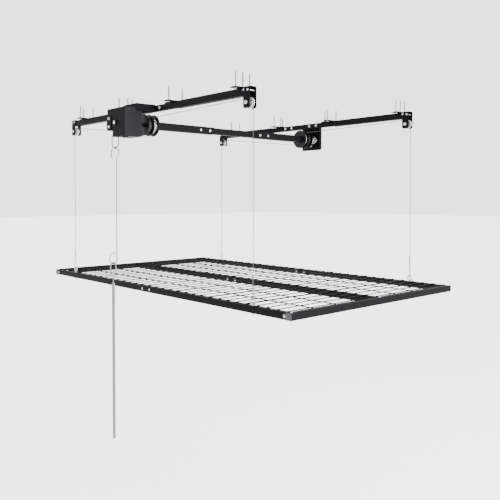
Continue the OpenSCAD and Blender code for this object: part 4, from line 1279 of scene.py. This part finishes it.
@dataclass
class Cables:
    """The four cables: along the rails and over the pulleys, and hanging down to the platform."""

    radius: float = 1.75 * MM
    lay: float = 20 * MM
    pulley: float = 22 * MM
    drum: float = 40 * MM
    bay: float = 16 * MM

    def build(self) -> None:
        """Builds the still stretches on the rails and the hanging stretches down to the platform."""
        low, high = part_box("front_drum")
        shaft_x, shaft_z = (low.x + high.x) / 2, (low.z + high.z) / 2
        for row, sign in (("front", -1), ("back", 1)):
            runs = [self._run(row, sign, hand, side, shaft_x, shaft_z)
                    for hand, side in (("left", -1), ("right", 1))]
            Piece(f"{row}_cables_on_rail", ROPE, "ceiling_frame", "wire_rope", (f"{row}_rail_cables",)).place(
                join(runs), crease=60)
            self._drops(row)

    def _run(self, row: str, sign: int, hand: str, side: int, shaft_x: float, shaft_z: float) -> Surface:
        """From the drum to a pulley and a quarter turn over it.

        Args:
            row: Front or back.
            sign: -1 for the front and 1 for the back.
            hand: Left or right.
            side: -1 for left and 1 for right.
            shaft_x: The drive shaft's place along X.
            shaft_z: The drive shaft's height.

        Returns:
            The cable's surface.
        """
        low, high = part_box(f"pulley_{row}_{hand}")
        centre = np.array((low + high) / 2)
        bay = (-sign if side > 0 else sign) * self.bay
        start = np.array([shaft_x, centre[1] + bay, shaft_z + side * self.drum])
        over = arc(centre, self.pulley, 90, 0, (side, 0, 0), (0, 0, 1), 14)
        path = finer(np.concatenate([start[None], over]), 5 * MM)
        return sweep(path, rope_outline(self.radius, 6, 12), (0, 1, 0), self.lay)

    def _drops(self, row: str) -> None:
        """The two hanging stretches of a row, straight between pulley and clamp."""
        low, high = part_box(f"{row}_drop_cables")
        y = (low.y + high.y) / 2
        for hand, x in (("left", low.x + self.radius), ("right", high.x - self.radius)):
            path = finer(np.array([(x, y, low.z - 2 * MM), (x, y, high.z)]), 4 * MM)
            cable = sweep(path, rope_outline(self.radius, 6, 12), (1, 0, 0), self.lay)
            nodes = (f"{row}_drop_cables",)
            name = f"{row}_{hand}_drop_cable"
            piece = Piece(name, ROPE, "platform", "wire_rope", nodes).make(cable, crease=60)
            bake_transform(piece)


# ---------------------------------------------------------------- inner parts, studio and camera


@dataclass
class InnerParts:
    """CAD nodes that keep their own shape and only take a finish."""

    finishes: tuple[tuple[str, Finish], ...] = (
        ("shaft_bushes", BRONZE), ("worm_bushes", BRONZE), ("worm_wheel", BRONZE), ("worm_shaft", BRIGHT_STEEL),
        ("front_journal", CASE_CHARCOAL), ("back_journal", BRIGHT_STEEL), ("tube_joiners", ZINC),
    )

    def dress(self) -> None:
        """Gives each kept node its material."""
        for node, finish in self.finishes:
            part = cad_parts[node]
            part.data.materials.clear()
            part.data.materials.append(finish.material())
            LOG.info("%s keeps its shape, in %s", node, finish.name)


@dataclass
class Studio:
    """A pale floor, soft lights and the camera."""

    floor_z: float = -2.4
    camera_at: tuple[float, float, float] = (2.8272, -2.4254, -0.4828)
    azimuth: float = 47.843
    pitch: float = 1.362
    focal_mm: float = 45.25
    shift_y: float = -0.074

    def build(self) -> None:
        """Sets up the floor, the world, the lights and the camera."""
        self._floor()
        self._world()
        self._light("key", (5.5, 1.2, 0.4), 4.0, 900.0)
        self._light("fill", (-1.5, -6.0, 1.5), 4.0, 60.0)
        self._camera()

    def _floor(self) -> None:
        """A wide pale floor, well below the crank pole."""
        reach = 60.0
        mesh = bpy.data.meshes.new("floor")
        mesh.from_pydata([(-reach, -reach, self.floor_z), (reach, -reach, self.floor_z),
                          (reach, reach, self.floor_z), (-reach, reach, self.floor_z)], [], [(0, 1, 2, 3)])
        floor = bpy.data.objects.new("floor", mesh)
        bpy.context.scene.collection.objects.link(floor)
        paint = bpy.data.materials.new("floor_paint")
        paint.use_nodes = True
        shader = paint.node_tree.nodes["Principled BSDF"]
        shader.inputs["Base Color"].default_value = (0.9, 0.9, 0.9, 1)
        shader.inputs["Roughness"].default_value = 0.9
        shader.inputs["Emission Color"].default_value = (1, 1, 1, 1)
        shader.inputs["Emission Strength"].default_value = 1.2
        mesh.materials.append(paint)

    def _world(self) -> None:
        """An even white surround."""
        world = bpy.data.worlds.new("surround")
        bpy.context.scene.world = world
        world.use_nodes = True
        sky = world.node_tree.nodes["Background"]
        sky.inputs["Color"].default_value = (1, 1, 1, 1)
        sky.inputs["Strength"].default_value = 2.8

    def _light(self, name: str, place: tuple[float, float, float], size: float, power: float) -> None:
        """A square soft light that faces the rack's middle."""
        data = bpy.data.lights.new(name, "AREA")
        data.size, data.energy = size, power
        light = bpy.data.objects.new(name, data)
        light.location = place
        aim = Matrix.Translation(place).to_translation() - Matrix.Translation((0, 0, -0.6)).to_translation()
        light.rotation_euler = aim.to_track_quat("Z", "Y").to_euler()
        bpy.context.scene.collection.objects.link(light)

    def _camera(self) -> None:
        """The camera, level but for a slight downward tilt."""
        data = bpy.data.cameras.new("camera")
        data.lens, data.shift_y = self.focal_mm, self.shift_y
        data.clip_end = 200.0
        camera = bpy.data.objects.new("camera", data)
        camera.location = self.camera_at
        camera.rotation_euler = (math.radians(90 - self.pitch), 0, math.radians(self.azimuth))
        bpy.context.scene.collection.objects.link(camera)
        bpy.context.scene.camera = camera


def main() -> None:
    """Builds the rack's pieces in order."""
    logging.basicConfig(level=logging.INFO, format="%(name)s: %(message)s")
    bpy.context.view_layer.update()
    Studio().build()
    CeilingFrame().build()
    axles, small = [], []
    for row in ("front", "back"):
        for hand in ("left", "right"):
            axle, *pair = PulleyCorner(row, hand).build()
            axles.append(axle)
            small += pair
    Piece("pulley_axle_bolts", ZINC, "ceiling_frame", "zinc_fasteners", ("pulley_axles",)).place(join(axles))
    Piece("fork_bolts", ZINC, "ceiling_frame", "zinc_fasteners", ("clevis_bolts",)).place(join(small))
    GearUnit().build()
    BackBearing().build()
    DriveShaft().build()
    Crank().build()
    Platform().build()
    Cables().build()
    InnerParts().dress()


if __name__ == "__main__":
    main()
